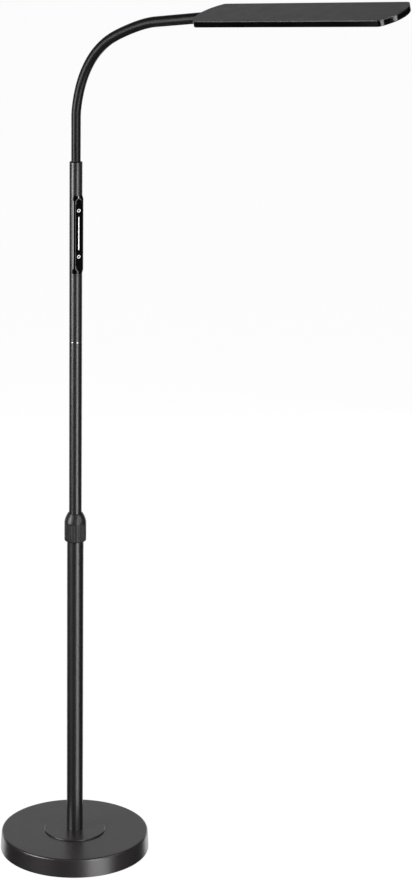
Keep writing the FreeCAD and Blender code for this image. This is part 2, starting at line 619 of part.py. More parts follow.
def panel_blank(grow):
    """The touch panel's outline with rounded ends, grown by a clearance."""
    half = PANEL_HALF + grow
    bottom = MODULE_BOTTOM + PANEL_END - grow
    top = MODULE_TOP - PANEL_END + grow
    block = box(MODULE_FACE - PANEL_THICK - grow, MODULE_FACE + PANEL_PROUD, -half, half, bottom, top)
    corners = [edge for edge in block.Edges
               if abs(edge.Vertexes[0].Point.x - edge.Vertexes[1].Point.x) > PANEL_THICK / 2]
    return block.makeFillet(PANEL_HALF * PANEL_CORNER_SHARE, corners)


def icon_blank(height, grow):
    """One round icon: a flat ring let into the panel's face."""
    front = MODULE_FACE + PANEL_PROUD
    back = front - INLAY_THICK - grow
    disc = Part.makeCylinder(ICON_DIA / 2 + grow, front - back, Vector(back, 0, height), Vector(1, 0, 0))
    hole = Part.makeCylinder(ICON_HOLE / 2 - grow, front - back, Vector(back, 0, height), Vector(1, 0, 0))
    return disc.cut(hole)


def bar_blank(grow):
    front = MODULE_FACE + PANEL_PROUD
    back = front - INLAY_THICK - grow
    half = BAR_WIDTH / 2 + grow
    return box(back, front, -half, half, BAR_BOTTOM - grow, BAR_TOP + grow)


def touch_panel():
    body = panel_blank(0.0)
    for height in (LOWER_ICON_HEIGHT, UPPER_ICON_HEIGHT):
        body = body.cut(icon_blank(height, FIT / 2))
    return on_module(body.cut(bar_blank(FIT / 2)))


def touch_icons():
    icons = [icon_blank(height, 0.0) for height in (LOWER_ICON_HEIGHT, UPPER_ICON_HEIGHT)]
    return on_module(Part.makeCompound(icons))


def light_bar():
    return on_module(bar_blank(0.0))


def control_board():
    front = MODULE_FACE - PANEL_THICK - MODULE_SKIN - FIT
    return on_module(box(front - BOARD_THICK, front, -BOARD_HALF, BOARD_HALF,
                         MODULE_BOTTOM + BOARD_END, MODULE_TOP - BOARD_END))


def pole_lead():
    """Straight lead from the upper tube's foot cap to the control board's lower end."""
    return rod(LEAD_DIA, UPPER_TUBE_FOOT - FOOT_CAP_FLANGE, MODULE_BOTTOM + BOARD_END)


def neck_lead():
    """Straight lead from the control board's upper end to the neck's first joint."""
    return rod(LEAD_DIA, MODULE_TOP - BOARD_END, FERRULE_TOP + NECK_ROOT_LENGTH)


def coiled_lead():
    """Stretching part of the lead between the foot plug and the sliding tube's cap."""
    return tube(COIL_DIA, COIL_CORE, PLUG_TOP + END_PLAY, UPPER_TUBE_FOOT - FOOT_CAP_FLANGE - END_PLAY)


# ---- neck ------------------------------------------------------------------------------------------
def neck_stations():
    """Joint centres of the neck, each with the direction of the link that starts there."""
    lean = 0.0
    place = Vector(0, 0, FERRULE_TOP + NECK_ROOT_LENGTH)
    stations = []
    for kind, length in NECK_LINKS:
        if kind == "bend":
            lean += BEND_STEP
        direction = Vector(math.sin(math.radians(lean)), 0, math.cos(math.radians(lean)))
        stations.append((place, direction, kind, length))
        place = place + direction * length
    stations.append((place, direction, "sway", NECK_TIP_LENGTH))
    return stations


def neck_radius(run):
    """Sleeve's radius at a distance along the neck."""
    whole = NECK_ROOT_LENGTH + sum(length for _, length in NECK_LINKS) + NECK_TIP_LENGTH
    return (NECK_ROOT_DIA + (NECK_TIP_DIA - NECK_ROOT_DIA) * run / whole) / 2


def link_solid(low, high, length, cup, ball):
    """Hollow link along +Z from its lower joint centre, with a cup below and a ball above."""
    bore = NECK_BORE / 2
    outline = []
    if cup:
        reach = low + BALL_GAP
        inner = Vector(bore, 0, math.sqrt(reach ** 2 - bore ** 2))
        rim = Vector(math.sqrt(reach ** 2 - RIM_HEIGHT ** 2), 0, RIM_HEIGHT)
        middle_angle = (math.atan2(inner.z, inner.x) + math.atan2(rim.z, rim.x)) / 2
        middle = Vector(reach * math.cos(middle_angle), 0, reach * math.sin(middle_angle))
        outline.append(Part.Arc(inner, middle, rim))
        share = RIM_HEIGHT / length
        side = Vector(low + (high - low) * share, 0, RIM_HEIGHT)
        outline.append(Part.LineSegment(rim, side))
    else:
        inner = Vector(bore, 0, 0)
        side = Vector(low, 0, 0)
        outline.append(Part.LineSegment(inner, side))
    shoulder = Vector(high, 0, length)
    outline.append(Part.LineSegment(side, shoulder))
    if ball:
        last = Vector(bore, 0, length + math.sqrt(high ** 2 - bore ** 2))
        half_turn = math.atan2(last.z - length, bore) / 2
        middle = Vector(high * math.cos(half_turn), 0, length + high * math.sin(half_turn))
        outline.append(Part.Arc(shoulder, middle, last))
    else:
        last = Vector(bore, 0, length)
        outline.append(Part.LineSegment(shoulder, last))
    outline.append(Part.LineSegment(last, inner))
    wire = Part.Wire([piece.toShape() for piece in outline])
    return Part.Face(wire).revolve(Vector(0, 0, 0), Vector(0, 0, 1), 360)


def placed_on(shape, place, direction):
    """Move a piece built along +Z from the origin so that it starts at a place and points on."""
    placement = Placement(place, Rotation(Vector(0, 0, 1), direction))
    moved = shape.copy()
    moved.Placement = placement.multiply(moved.Placement)
    return moved


def neck_ferrule():
    tip = NECK_ROOT_DIA / 2 + FERRULE_LIP
    outer = UPPER_TUBE_RADIUS
    bore = NECK_ROOT_DIA / 2 + FIT
    plug = UPPER_TUBE_BORE / 2 - FIT
    return turned([(LEAD_BORE / 2, FERRULE_BOTTOM - FERRULE_PLUG), (plug, FERRULE_BOTTOM - FERRULE_PLUG),
                   (plug, FERRULE_BOTTOM), (outer - FERRULE_GROOVE, FERRULE_BOTTOM),
                   (outer - FERRULE_GROOVE, FERRULE_BOTTOM + FERRULE_GROOVE),
                   (outer, FERRULE_BOTTOM + FERRULE_GROOVE), (outer, FERRULE_TOP - FERRULE_CHAMFER),
                   (tip, FERRULE_TOP), (bore, FERRULE_TOP), (bore, NECK_SEAT), (LEAD_BORE / 2, NECK_SEAT)])


def neck_root():
    """Fixed first stretch of the neck, seated in the ferrule."""
    length = FERRULE_TOP + NECK_ROOT_LENGTH - NECK_SEAT
    solid = link_solid(NECK_ROOT_DIA / 2, neck_radius(NECK_ROOT_LENGTH), length, False, True)
    return solid.translated(Vector(0, 0, NECK_SEAT))


def neck_links():
    pieces = []
    run = NECK_ROOT_LENGTH
    for place, direction, _, length in neck_stations()[:-1]:
        solid = link_solid(neck_radius(run), neck_radius(run + length), length, True, True)
        pieces.append(placed_on(solid, place, direction))
        run += length
    return pieces


def neck_tip():
    """Last stretch of the neck with the flat tang that enters the head."""
    place, direction, _, length = neck_stations()[-1]
    run = NECK_ROOT_LENGTH + sum(link[1] for link in NECK_LINKS)
    solid = placed_on(link_solid(neck_radius(run), neck_radius(run + length), length, True, False),
                      place, direction)
    return solid.fuse(to_head(tang_blank())).removeSplitter()


# ---- head ------------------------------------------------------------------------------------------
def to_head(shape):
    """Move a piece built flat about the origin to the head's place, pitch and roll."""
    place, direction, _, length = neck_stations()[-1]
    end = place + direction * length
    pitch = Rotation(Vector(0, 1, 0), -HEAD_PITCH)
    roll = Rotation(Vector(1, 0, 0), HEAD_ROLL)
    turn = pitch.multiply(roll)
    centre = end + turn.multVec(Vector(HEAD_LENGTH / 2, 0, HEAD_RISE))
    moved = shape.copy()
    moved.Placement = Placement(centre, turn).multiply(moved.Placement)
    return moved


def head_outline(inset, bottom, top):
    """Plate of the head's plan, drawn in by an inset: straight sides and bulged ends."""
    half_width = HEAD_WIDTH / 2
    radius = (half_width ** 2 + HEAD_SAGITTA ** 2) / (2 * HEAD_SAGITTA)
    centre = HEAD_LENGTH / 2 - radius
    end_radius = radius - inset
    side = half_width - inset
    corner = centre + math.sqrt(end_radius ** 2 - side ** 2)
    tip = centre + end_radius
    pieces = [
        Part.LineSegment(Vector(-corner, -side, bottom), Vector(corner, -side, bottom)),
        Part.Arc(Vector(corner, -side, bottom), Vector(tip, 0, bottom), Vector(corner, side, bottom)),
        Part.LineSegment(Vector(corner, side, bottom), Vector(-corner, side, bottom)),
        Part.Arc(Vector(-corner, side, bottom), Vector(-tip, 0, bottom), Vector(-corner, -side, bottom)),
    ]
    wire = Part.Wire([piece.toShape() for piece in pieces])
    plate = Part.Face(wire).extrude(Vector(0, 0, top - bottom))
    upright = [edge for edge in plate.Edges
               if abs(edge.Vertexes[0].Point.z - edge.Vertexes[-1].Point.z) > (top - bottom) / 2]
    return plate.makeFillet(max(HEAD_CORNER - inset, HEAD_CORNER_LEAST), upright)


HEAD_TOP = HEAD_THICK / 2
HEAD_BOTTOM = -HEAD_THICK / 2
PLATE_UNDER = HEAD_TOP - TOP_PLATE_THICK
LIP_TOP = HEAD_BOTTOM + LIP_THICK
DIFFUSER_TOP = LIP_TOP + DIFFUSER_THICK
TANG_TOP = PLATE_UNDER - ANCHOR_THICK
TANG_BOTTOM = DIFFUSER_TOP + TANG_SCREW_HEAD_HEIGHT + TANG_SCREW_ROOM
TANG_START = -HEAD_LENGTH / 2
BOSS_BOTTOM = DIFFUSER_TOP + BOSS_GAP
SPREADER_BOTTOM = PLATE_UNDER - SPREADER_THICK
LED_BOARD_BOTTOM = SPREADER_BOTTOM - LED_BOARD_THICK
TANG_SCREW_FIRST = TANG_START + TANG_SCREW_INSET


def tang_blank():
    half = TANG_WIDTH / 2
    blank = box(TANG_START - TANG_ROOT, TANG_START + TANG_INSIDE, -half, half, TANG_BOTTOM, TANG_TOP)
    return blank.cut(tang_screw_holes(TANG_SCREW_DIA + 2 * FIT, TANG_BOTTOM - 1, TANG_TOP + 1))


def tang_screw_holes(dia, bottom, top):
    holes = [rod(dia, bottom, top).translated(Vector(TANG_SCREW_FIRST + k * TANG_SCREW_PITCH, 0, 0))
             for k in range(2)]
    return Part.makeCompound(holes)


def head_screw_places():
    side = HEAD_WIDTH / 2 - BOSS_INSET
    return [Vector(share * HEAD_STRAIGHT / 2, sign * side, 0)
            for share in HEAD_SCREW_STATIONS for sign in (-1, 1)]


def tang_room(bottom, top):
    """Space kept free round the tang at the head's near end."""
    half = ANCHOR_WIDTH / 2 + ANCHOR_ROOM
    return box(-HEAD_LENGTH, TANG_START + TANG_INSIDE + TANG_ROOM, -half, half, bottom, top)


def head_top_plate():
    plate = head_outline(0.0, PLATE_UNDER, HEAD_TOP)
    rim = [edge for edge in plate.Edges
           if min(vertex.Point.z for vertex in edge.Vertexes) > HEAD_TOP - 0.01]
    plate = plate.makeFillet(TOP_EDGE_RADIUS, rim)
    hole = rod(HEAD_SCREW_DIA + 2 * FIT, PLATE_UNDER - 1, PLATE_UNDER + HEAD_SCREW_BITE + 4 * FIT)
    for place in head_screw_places():
        plate = plate.cut(hole.translated(place))
    return to_head(plate)


def head_shell():
    body = head_outline(0.0, HEAD_BOTTOM, PLATE_UNDER)
    body = body.cut(head_outline(SHELL_WALL, LIP_TOP, PLATE_UNDER + 1))
    body = body.cut(head_outline(LIP_WIDTH, HEAD_BOTTOM - 1, LIP_TOP + 1))
    for place in head_screw_places():
        post = rod(BOSS_DIA, BOSS_BOTTOM, PLATE_UNDER).translated(place)
        wall = math.copysign(HEAD_WIDTH / 2 - SHELL_WALL / 2, place.y)
        web = box(place.x - BOSS_WEB / 2, place.x + BOSS_WEB / 2, min(place.y, wall), max(place.y, wall),
                  BOSS_BOTTOM, PLATE_UNDER)
        body = body.fuse(post).fuse(web)
    drill = rod(HEAD_SCREW_DIA + 2 * FIT, BOSS_BOTTOM - 1, PLATE_UNDER + 1)
    sink = rod(HEAD_SCREW_HEAD + 2 * FIT, BOSS_BOTTOM - 1, BOSS_BOTTOM + HEAD_SCREW_HEAD_HEIGHT)
    for place in head_screw_places():
        body = body.cut(drill.translated(place)).cut(sink.translated(place))
    half = TANG_WIDTH / 2 + TANG_CLEAR
    slot = box(-HEAD_LENGTH, TANG_START + 2 * SHELL_WALL, -half, half,
               TANG_BOTTOM - TANG_CLEAR, TANG_TOP + TANG_CLEAR)
    return to_head(body.cut(slot))


def head_screws():
    head = rod(HEAD_SCREW_HEAD, BOSS_BOTTOM, BOSS_BOTTOM + HEAD_SCREW_HEAD_HEIGHT)
    shank = rod(HEAD_SCREW_DIA, BOSS_BOTTOM, PLATE_UNDER + HEAD_SCREW_BITE)
    screw = head.fuse(shank)
    return to_head(Part.makeCompound([screw.translated(place) for place in head_screw_places()]))


def diffuser():
    return to_head(head_outline(DIFFUSER_INSET, LIP_TOP, DIFFUSER_TOP))


def reflector_frame():
    ring = head_outline(FRAME_INSET, DIFFUSER_TOP, LED_BOARD_BOTTOM)
    ring = ring.cut(head_outline(FRAME_INSET + FRAME_WALL, DIFFUSER_TOP - 1, PLATE_UNDER))
    return to_head(ring.cut(tang_room(DIFFUSER_TOP - 1, PLATE_UNDER)))


def led_board():
    board = head_outline(LED_BOARD_INSET, LED_BOARD_BOTTOM, SPREADER_BOTTOM)
    return to_head(board.cut(tang_room(LED_BOARD_BOTTOM - 1, SPREADER_BOTTOM + 1)))


def led_chips():
    chips = []
    first = CHIP_END - HEAD_LENGTH / 2
    pitch = -2 * first / (CHIP_COUNT - 1)
    for row in range(CHIP_ROWS):
        y = CHIP_ROW_GAP * (row - (CHIP_ROWS - 1) / 2)
        for k in range(CHIP_COUNT):
            x = first + pitch * k
            chips.append(box(x - CHIP_LENGTH / 2, x + CHIP_LENGTH / 2, y - CHIP_WIDTH / 2,
                             y + CHIP_WIDTH / 2, LED_BOARD_BOTTOM - CHIP_THICK, LED_BOARD_BOTTOM))
    return to_head(Part.makeCompound(chips))


def heat_spreader():
    sheet = head_outline(FRAME_INSET, SPREADER_BOTTOM, PLATE_UNDER)
    return to_head(sheet.cut(tang_room(SPREADER_BOTTOM - 1, PLATE_UNDER + 1)))


def neck_anchor():
    """Steel plate under the top plate into which the tang is screwed."""
    half = ANCHOR_WIDTH / 2
    start = TANG_SCREW_FIRST - (ANCHOR_LENGTH - TANG_SCREW_PITCH) / 2
    plate = box(start, start + ANCHOR_LENGTH, -half, half, TANG_TOP, PLATE_UNDER)
    return to_head(plate.cut(tang_screw_holes(TANG_SCREW_DIA + 2 * FIT, TANG_TOP - 1, PLATE_UNDER + 1)))


def tang_screws():
    heads = tang_screw_holes(TANG_SCREW_HEAD, TANG_BOTTOM - TANG_SCREW_HEAD_HEIGHT, TANG_BOTTOM).Solids
    shanks = tang_screw_holes(TANG_SCREW_DIA, TANG_BOTTOM, PLATE_UNDER - 2 * FIT).Solids
    return to_head(Part.makeCompound([head.fuse(shank) for head, shank in zip(heads, shanks)]))


# ---- all pieces ------------------------------------------------------------------------------------
PIECES = [
    base_cover, base_centre_disc, base_weight, base_plate, base_screws, base_foot_pad,
    pole_nipple, nipple_washer, nipple_nut, power_inlet, inlet_contact_pin, inlet_nut, base_lead,
    tube_foot_plug, lower_tube, collet_body, compression_ring, lock_nut,
    guide_bush, pole_foot_cap, bush_stop_ring, upper_tube_lower, tube_coupler, upper_tube_upper,
    control_housing, touch_panel, touch_icons, light_bar, control_board, pole_lead, neck_lead, coiled_lead,
    neck_ferrule, neck_root, neck_tip,
    head_top_plate, head_shell, head_screws, diffuser, reflector_frame, led_board, led_chips,
    heat_spreader, neck_anchor, tang_screws,
]


def write(name, shape):
    for solid in shape.Solids:
        if not solid.isValid():
            raise ValueError(name + " is not a valid solid")
    shape.exportStep("parts/" + name + ".step")


def main():
    os.makedirs("parts", exist_ok=True)
    for piece in PIECES:
        write(piece.__name__, piece())
    for number, link in enumerate(neck_links(), start=1):
        write("neck_link_%02d" % number, link)
    for place, direction, kind, _ in neck_stations():
        print("neck joint %s at x %.3f z %.3f, direction x %.5f z %.5f"
              % (kind, place.x, place.z, direction.x, direction.z))


main()
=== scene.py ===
import json
import math

import bmesh
import bpy
from mathutils import Matrix, Vector


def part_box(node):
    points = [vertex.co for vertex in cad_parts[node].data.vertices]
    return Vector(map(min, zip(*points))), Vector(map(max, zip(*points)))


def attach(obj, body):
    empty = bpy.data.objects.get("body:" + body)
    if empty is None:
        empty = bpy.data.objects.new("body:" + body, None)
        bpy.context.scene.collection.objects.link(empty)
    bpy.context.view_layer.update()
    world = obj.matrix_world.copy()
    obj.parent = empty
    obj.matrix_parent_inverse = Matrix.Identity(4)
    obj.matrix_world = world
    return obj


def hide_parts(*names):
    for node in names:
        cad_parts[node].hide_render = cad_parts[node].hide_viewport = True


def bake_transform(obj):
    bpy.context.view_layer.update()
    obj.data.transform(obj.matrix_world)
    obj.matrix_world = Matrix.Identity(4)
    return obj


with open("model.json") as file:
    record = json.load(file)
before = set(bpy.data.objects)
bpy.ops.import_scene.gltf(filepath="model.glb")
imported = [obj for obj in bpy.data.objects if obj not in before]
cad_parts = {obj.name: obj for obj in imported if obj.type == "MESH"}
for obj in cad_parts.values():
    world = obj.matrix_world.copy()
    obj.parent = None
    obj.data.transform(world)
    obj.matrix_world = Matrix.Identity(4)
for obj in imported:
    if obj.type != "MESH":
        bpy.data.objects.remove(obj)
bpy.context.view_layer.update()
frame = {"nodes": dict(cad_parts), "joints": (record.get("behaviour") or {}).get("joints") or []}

# Looks of the gooseneck reading floor lamp: finishes, turned and moulded shells, the neck's sleeve and
# the small parts that repeat. Sizes are in millimetres and meshes in metres, in the frame's axes:
# +Z up along the pole, +X the way that the neck reaches.
MM = 0.001

# ---- how finely shapes are made ----------------------------------------------------------------
ROUND_STEPS = 160       # sides of the pole's parts
BASE_STEPS = 288        # sides of the base's parts
SMALL_STEPS = 48        # sides of screws and sockets
ARC_STEPS = 6           # steps of a rounded edge
SHARP_ANGLE = 35.0      # degrees, past which an edge stays crisp
FLAT_SHARE = 0.4        # most of a flat that the point beside an arc may take
ON_AXIS = 1e-6          # radius below which an outline's point lies on the axis
MERGE_GAP = 1e-7        # metres, below which two points of a mesh are one
NOISE_LOW = 0.3         # between these the noise of the finishes moves
NOISE_HIGH = 0.7

# ---- camera and lights -------------------------------------------------------------------------
IMAGE_HEIGHT = 879      # pixels
FOCAL_PIXELS = 2600.0
SENSOR = 36.0
CAMERA_DISTANCE = 3719.66   # from the pole's axis
CAMERA_HEIGHT = 1728.87
CAMERA_AZIMUTH = 40.91  # degrees about the pole, from in front of -Y towards +X
CAMERA_PAN = 2.99       # degrees towards the image's right
CAMERA_TILT = 16.02     # degrees down
CAMERA_ROLL = 0.93      # degrees
SOFT_PANELS = (         # name, azimuth from the camera, distance, low, high, width, glow
    ("left_panel", -62, 2600, 200, 2400, 1400, 7.6),
    ("left_low_panel", -50, 2600, -1300, 0, 1500, 0.2),
    ("right_panel", 29, 2600, 250, 1900, 900, 4.6),
    ("right_middle_panel", 31, 2600, -450, 250, 1050, 5.8),
    ("right_low_panel", 37, 2600, -1900, -450, 1650, 2.5),
    ("right_high_panel", 62, 2600, 1100, 1800, 900, 5.0),
    ("glint_panel", 46, 2600, 1900, 2500, 500, 16.0),
    ("back_panel", 180, 2600, 1350, 3200, 3600, 0.38),
    ("back_low_panel", 180, 2600, 500, 1350, 3600, 0.62),
    ("rear_left_panel", 150, 2600, -1900, 900, 1200, 1.5),
    ("rear_right_panel", 210, 2600, -1900, 900, 1200, 1.5),
    ("front_panel", 0, 2200, 2700, 4200, 2400, 0.55),
)
ROOM_GLOW = 0.004
STAGE_RADIUS = 40000.0
STAGE_TOP = -0.5
STAGE_UNDER = -10.0
FLOOR_GLOW = 0.97
SURROUND_GLOW = 1.0

# ---- edges and details that the frame doesn't hold ---------------------------------------------
FIT = 0.05              # gap between pieces that sit in each other
CUT_PAST = 1.0          # how far a cutter passes the piece it cuts
COVER_WALL = 1.2
COVER_DRAFT = 1.5
COVER_RIM = 2.6         # radius of the cover's upper edge
COVER_HEM = 0.5
COVER_BORE = 14.1
INLET_HOLE_START = 3.6  # outside the cover's foot
INLET_HOLE_DEPTH = 9.6
DISC_EDGE = 1.0
DISC_FOOT = 0.35        # radius under the disc's edge, where it meets the cover
LOWER_TUBE_EDGE = 0.4
UPPER_TUBE_EDGE = 0.25
LOWER_TUBE_WALL = 1.2
UPPER_TUBE_WALL = 1.0
RING_FOOT_EDGE = 0.25
RING_TOP_EDGE = 0.45
RING_SPIGOT_EDGE = 0.3

NUT_DOME = 13.5         # height of the nut's smooth shoulder
NUT_BULGE = 2.1
NUT_BULGE_SHARE = 0.55
NUT_BROW = 1.3
NUT_CHAMFER = 1.4
NUT_FOOT_EDGE = 0.3
NUT_WALL_EDGE = 0.5
NUT_WALL_START = 1.0    # from the chamfer's top to the first point of the ribbed wall
NUT_MOUTH = 0.4         # chamfer round the upper bore
NUT_RIBS = 30
NUT_RIB_DEPTH = 0.5
NUT_RIB_WIDTH = 2.0
NUT_RIB_FADE = 1.6
NUT_RIB_REACH = 4.0     # how deep below the wall's face the flutes still cut, in rib depths
NUT_RIB_TOP = 0.8       # below the shoulder
NUT_RIB_STEPS = 16      # sides of the nut for each rib
NUT_WALL_STEPS = 26
NUT_DOME_STEPS = 20
NUT_UPPER_BORE = 19.48
NUT_LOWER_BORE = 27.76

MODULE_AZIMUTH = -26.0
MODULE_BACK = 5.2
MODULE_FACE = 10.8      # from the pole's axis
MODULE_BEVEL = 3.6
MODULE_BEVEL_WIDTH = 2.2
MODULE_BACK_HALF = 8.3
MODULE_FLARE = 0.5
MODULE_SHOULDER = 0.8
MODULE_EDGE = 0.7
MODULE_BACK_EDGE = 0.3
MODULE_END_TAPER = 8.0
MODULE_END_STEP = 0.05
MODULE_SWELL = 2.5
MODULE_STEPS = 22       # levels along each end taper
MODULE_SPACING = 1.0    # between the section's points
PANEL_HALF = 5.0
PANEL_END = 9.5
PANEL_THICK = 1.0
PANEL_PROUD = 0.15
PANEL_CORNER = 3.5
PANEL_LEAST_CORNER = 0.4
PANEL_CORNER_STEPS = 10
PANEL_EDGE = 0.12
RECESS_FRONT = 2.0      # how far the recess's cutter stands out of the face
ICON_DIA = 5.2
ICON_HOLE = 2.9
ICON_PROUD = 0.04
ICON_EDGE = 0.01
BAR_WIDTH = 1.4
BAR_SUNK = 0.3
BAR_EDGE = 0.05

SLEEVE_ROOT_DIA = 13.6
SLEEVE_TIP_DIA = 15.0
SLEEVE_RINGS = 260
SLEEVE_SIDES = 72
SLEEVE_OVERLAP = 1.2    # sleeve's end inside the head's wall
NECK_LINE_ORDER = 3
NECK_LINE_STEPS = 32    # of the neck's line between two of its points
NECK_TIP_LENGTH = 63.5  # last joint to the head's end
NECK_SEAT = 1051.8      # sleeve's foot inside the ferrule
FERRULE_PLUG_TOP = 1071.8
FERRULE_GROOVE = 0.6
FERRULE_CHAMFER = 0.8
FERRULE_LIP = 1.0
FERRULE_GROOVE_EDGE = 0.15
FERRULE_SHOULDER_EDGE = 0.5
FERRULE_LIP_EDGE = 0.25
FERRULE_BORE_EDGE = 0.1

HEAD_LENGTH = 333.0
HEAD_WIDTH = 75.0
HEAD_THICK = 9.0
HEAD_SAGITTA = 14.5
HEAD_CORNER = 8.0
HEAD_PITCH = 5.2
HEAD_ROLL = 13.9
HEAD_RISE = 3.0
HEAD_PLATE_THICK = 1.2
HEAD_PLATE_EDGE = 0.5
HEAD_SEAM_EDGE = 0.18   # radius of both edges at the seam between plate and shell
HEAD_SHELL_WALL = 1.6
HEAD_SHELL_EDGE = 0.7
HEAD_LIP_THICK = 1.0
HEAD_LIP_WIDTH = 5.0
HEAD_LIP_EDGE = 0.3
HEAD_FACE_INSET = 3.0   # from a plate's edge to the ring that bounds its flat faces
HEAT_SPREADER_THICK = 1.4
LED_BOARD_THICK = 1.0
HEAD_CORNER_STEPS = 10
HEAD_END_STEPS = 26
DIFFUSER_THICK = 1.2
DIFFUSER_INSET = 1.8
DIFFUSER_EDGE = 0.1
CHIP_COUNT = 20
CHIP_ROWS = 2
CHIP_LENGTH = 3.5
CHIP_WIDTH = 2.8
CHIP_THICK = 0.7
CHIP_RIM = 0.3          # flat rim round the lens
CHIP_LENS_FOOT = 0.45   # from the chip's side to the lens
CHIP_LENS_TOP = 1.0     # from the chip's side to the lens's flat top
CHIP_RECESS = 0.08      # of the lens's foot in the rim
CHIP_DOME = 0.12        # height of the lens
CHIP_END = 47.75
CHIP_ROW_GAP = 24.0

PLATE_SCREW_COUNT = 3
PLATE_SCREW_CIRCLE = 130.0
PLATE_SCREW_DIA = 4.0
SCREW_HEAD_DIA = 7.6
SCREW_HEAD_HEIGHT = 0.9
SCREW_CROWN = 0.55      # the crown's radius, as a share of the head's height
SCREW_CROSS_FLOOR = 0.45    # height left under the cross, as a share of the head's
SCREW_CROSS_REACH = 0.52    # the cross's size and width, as shares of the head's width
SCREW_CROSS_WIDTH = 0.13
SCREW_FOOT_EDGE = 0.08
SCREW_TIP_EDGE = 0.3

PAD_EDGE = 0.3
PAD_HOLE_SHARE = 1.32   # of the pad's holes to the screws' heads
INLET_FLANGE_THICK = 1.5
INLET_BODY_DIA = 11.0
INLET_SOCKET_DIA = 6.2
INLET_SOCKET_DEPTH = 9.5
INLET_BODY_EDGE = 0.4
INLET_FLANGE_FOOT_EDGE = 0.1
INLET_FLANGE_EDGE = 0.5
INLET_SOCKET_EDGE = 0.35
COIL_TURNS = 24
COIL_WIRE_DIA = 3.4
COIL_WIRE_SIDES = 10
COIL_TURN_STEPS = 28


# ---- outlines ----------------------------------------------------------------------------------
def span(node):
    """Lowest and highest corner of a frame node, in millimetres."""
    low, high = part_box(node)
    return low / MM, high / MM


def steps(first, last, count):
    return [first + (last - first) * k / count for k in range(count + 1)]


def polar(centre, radius, angle):
    return Vector((centre[0] + radius * math.cos(angle), centre[1] + radius * math.sin(angle)))


def rounded(corners, closed=True):
    """Outline through (across, up, radius) corners, each with an arc of its radius.

    A point on the flats beside each arc, up to a radius further out, keeps the flats' shading flat.
    """
    count = len(corners)
    places = [Vector(corner[:2]) for corner in corners]
    trims = []
    for k, (_, _, radius) in enumerate(corners):
        if radius <= 0 or (not closed and k in (0, count - 1)):
            trims.append(0.0)
            continue
        half = (places[k - 1] - places[k]).angle(places[(k + 1) % count] - places[k]) / 2
        trims.append(radius / math.tan(half))
    outline = []
    for k, here in enumerate(places):
        radius, trim = corners[k][2], trims[k]
        if trim <= 0:
            outline.append(here)
            continue
        ways, beside = [], []
        for other in (k - 1, (k + 1) % count):
            way = places[other] - here
            flat = way.length - trim - trims[other]
            ways.append(way.normalized())
            beside.append(here + ways[-1] * (trim + min(radius, FLAT_SHARE * flat)))
        back, onward = ways
        centre = here + (back + onward).normalized() * radius / math.sin(back.angle(onward) / 2)
        start = here + back * trim - centre
        end = here + onward * trim - centre
        first = math.atan2(start.y, start.x)
        turn = (math.atan2(end.y, end.x) - first + math.pi) % (2 * math.pi) - math.pi
        arc = [polar(centre, radius, angle) for angle in steps(first, first + turn, ARC_STEPS)]
        outline += [beside[0]] + arc + [beside[1]]
    return outline


def arc_through(start, middle, end, count):
    """Points of the circle's arc through three points."""
    chord = middle - start
    other = end - start
    cross = 2 * (chord.x * other.y - chord.y * other.x)
    centre = start + Vector((other.y * chord.length_squared - chord.y * other.length_squared,
                             chord.x * other.length_squared - other.x * chord.length_squared)) / cross
    first = math.atan2(start.y - centre.y, start.x - centre.x)
    last = math.atan2(end.y - centre.y, end.x - centre.x)
    turn = (last - first + math.pi) % (2 * math.pi) - math.pi
    return [polar(centre, (start - centre).length, angle) for angle in steps(first, first + turn, count)]


def hoop(inner, outer, low, high, low_edge, high_edge):
    """Outline of a flat-sided ring whose outer edges are rounded."""
    return rounded([(outer, low, low_edge), (outer, high, high_edge), (inner, high, 0), (inner, low, 0)])


# ---- meshes ------------------------------------------------------------------------------------
def skin(mesh, rings, closed):
    """Faces between neighbouring rings, which have as many points or a single one."""
    pairs = list(zip(rings, rings[1:]))
    if closed:
        pairs.append((rings[-1], rings[0]))
    for here, there in pairs:
        count = max(len(here), len(there))
        if count == 1:
            continue
        for k in range(count):
            after = (k + 1) % count
            corners = [here[k % len(here)], here[after % len(here)],
                       there[after % len(there)], there[k % len(there)]]
            mesh.faces.new(list(dict.fromkeys(corners)))


def finished_mesh(mesh, name):
    """Outward faces, smooth but for crisp edges, as mesh data in metres."""
    bmesh.ops.recalc_face_normals(mesh, faces=mesh.faces)
    if mesh.calc_volume(signed=True) < 0:
        bmesh.ops.reverse_faces(mesh, faces=mesh.faces)
    for face in mesh.faces:
        face.smooth = True
    for edge in mesh.edges:
        edge.smooth = edge.calc_face_angle(0.0) < math.radians(SHARP_ANGLE)
    data = bpy.data.meshes.new(name)
    mesh.to_mesh(data)
    mesh.free()
    return data


def turned(name, outline, sides=ROUND_STEPS):
    """Body of revolution about Z of a closed outline of (radius, height) points."""
    mesh = bmesh.new()
    rings = []
    for radius, height in outline:
        if radius < ON_AXIS:
            rings.append([mesh.verts.new((0, 0, height * MM))])
            continue
        ring = [polar((0, 0), radius * MM, 2 * math.pi * k / sides) for k in range(sides)]
        rings.append([mesh.verts.new((point.x, point.y, height * MM)) for point in ring])
    skin(mesh, rings, True)
    return finished_mesh(mesh, name)


def lofted(name, rings, closed=False):
    """Skin over rings of (x, y, z) points in millimetres, closed on itself or capped at both ends.

    A first or last ring of a single point closes its end by itself.
    """
    mesh = bmesh.new()
    made = [[mesh.verts.new(Vector(point) * MM) for point in ring] for ring in rings]
    skin(mesh, made, closed)
    for ring in (made[0], made[-1]):
        if not closed and len(ring) > 1:
            mesh.faces.new(ring)
    return finished_mesh(mesh, name)


def laid(x, z, side):
    """Matrix in millimetres that lays +Z along +X or -X, its foot in the plane of the neck's arch."""
    return Matrix.Translation((x, 0, z)) @ Matrix.Rotation(side * math.pi / 2, 4, "Y")


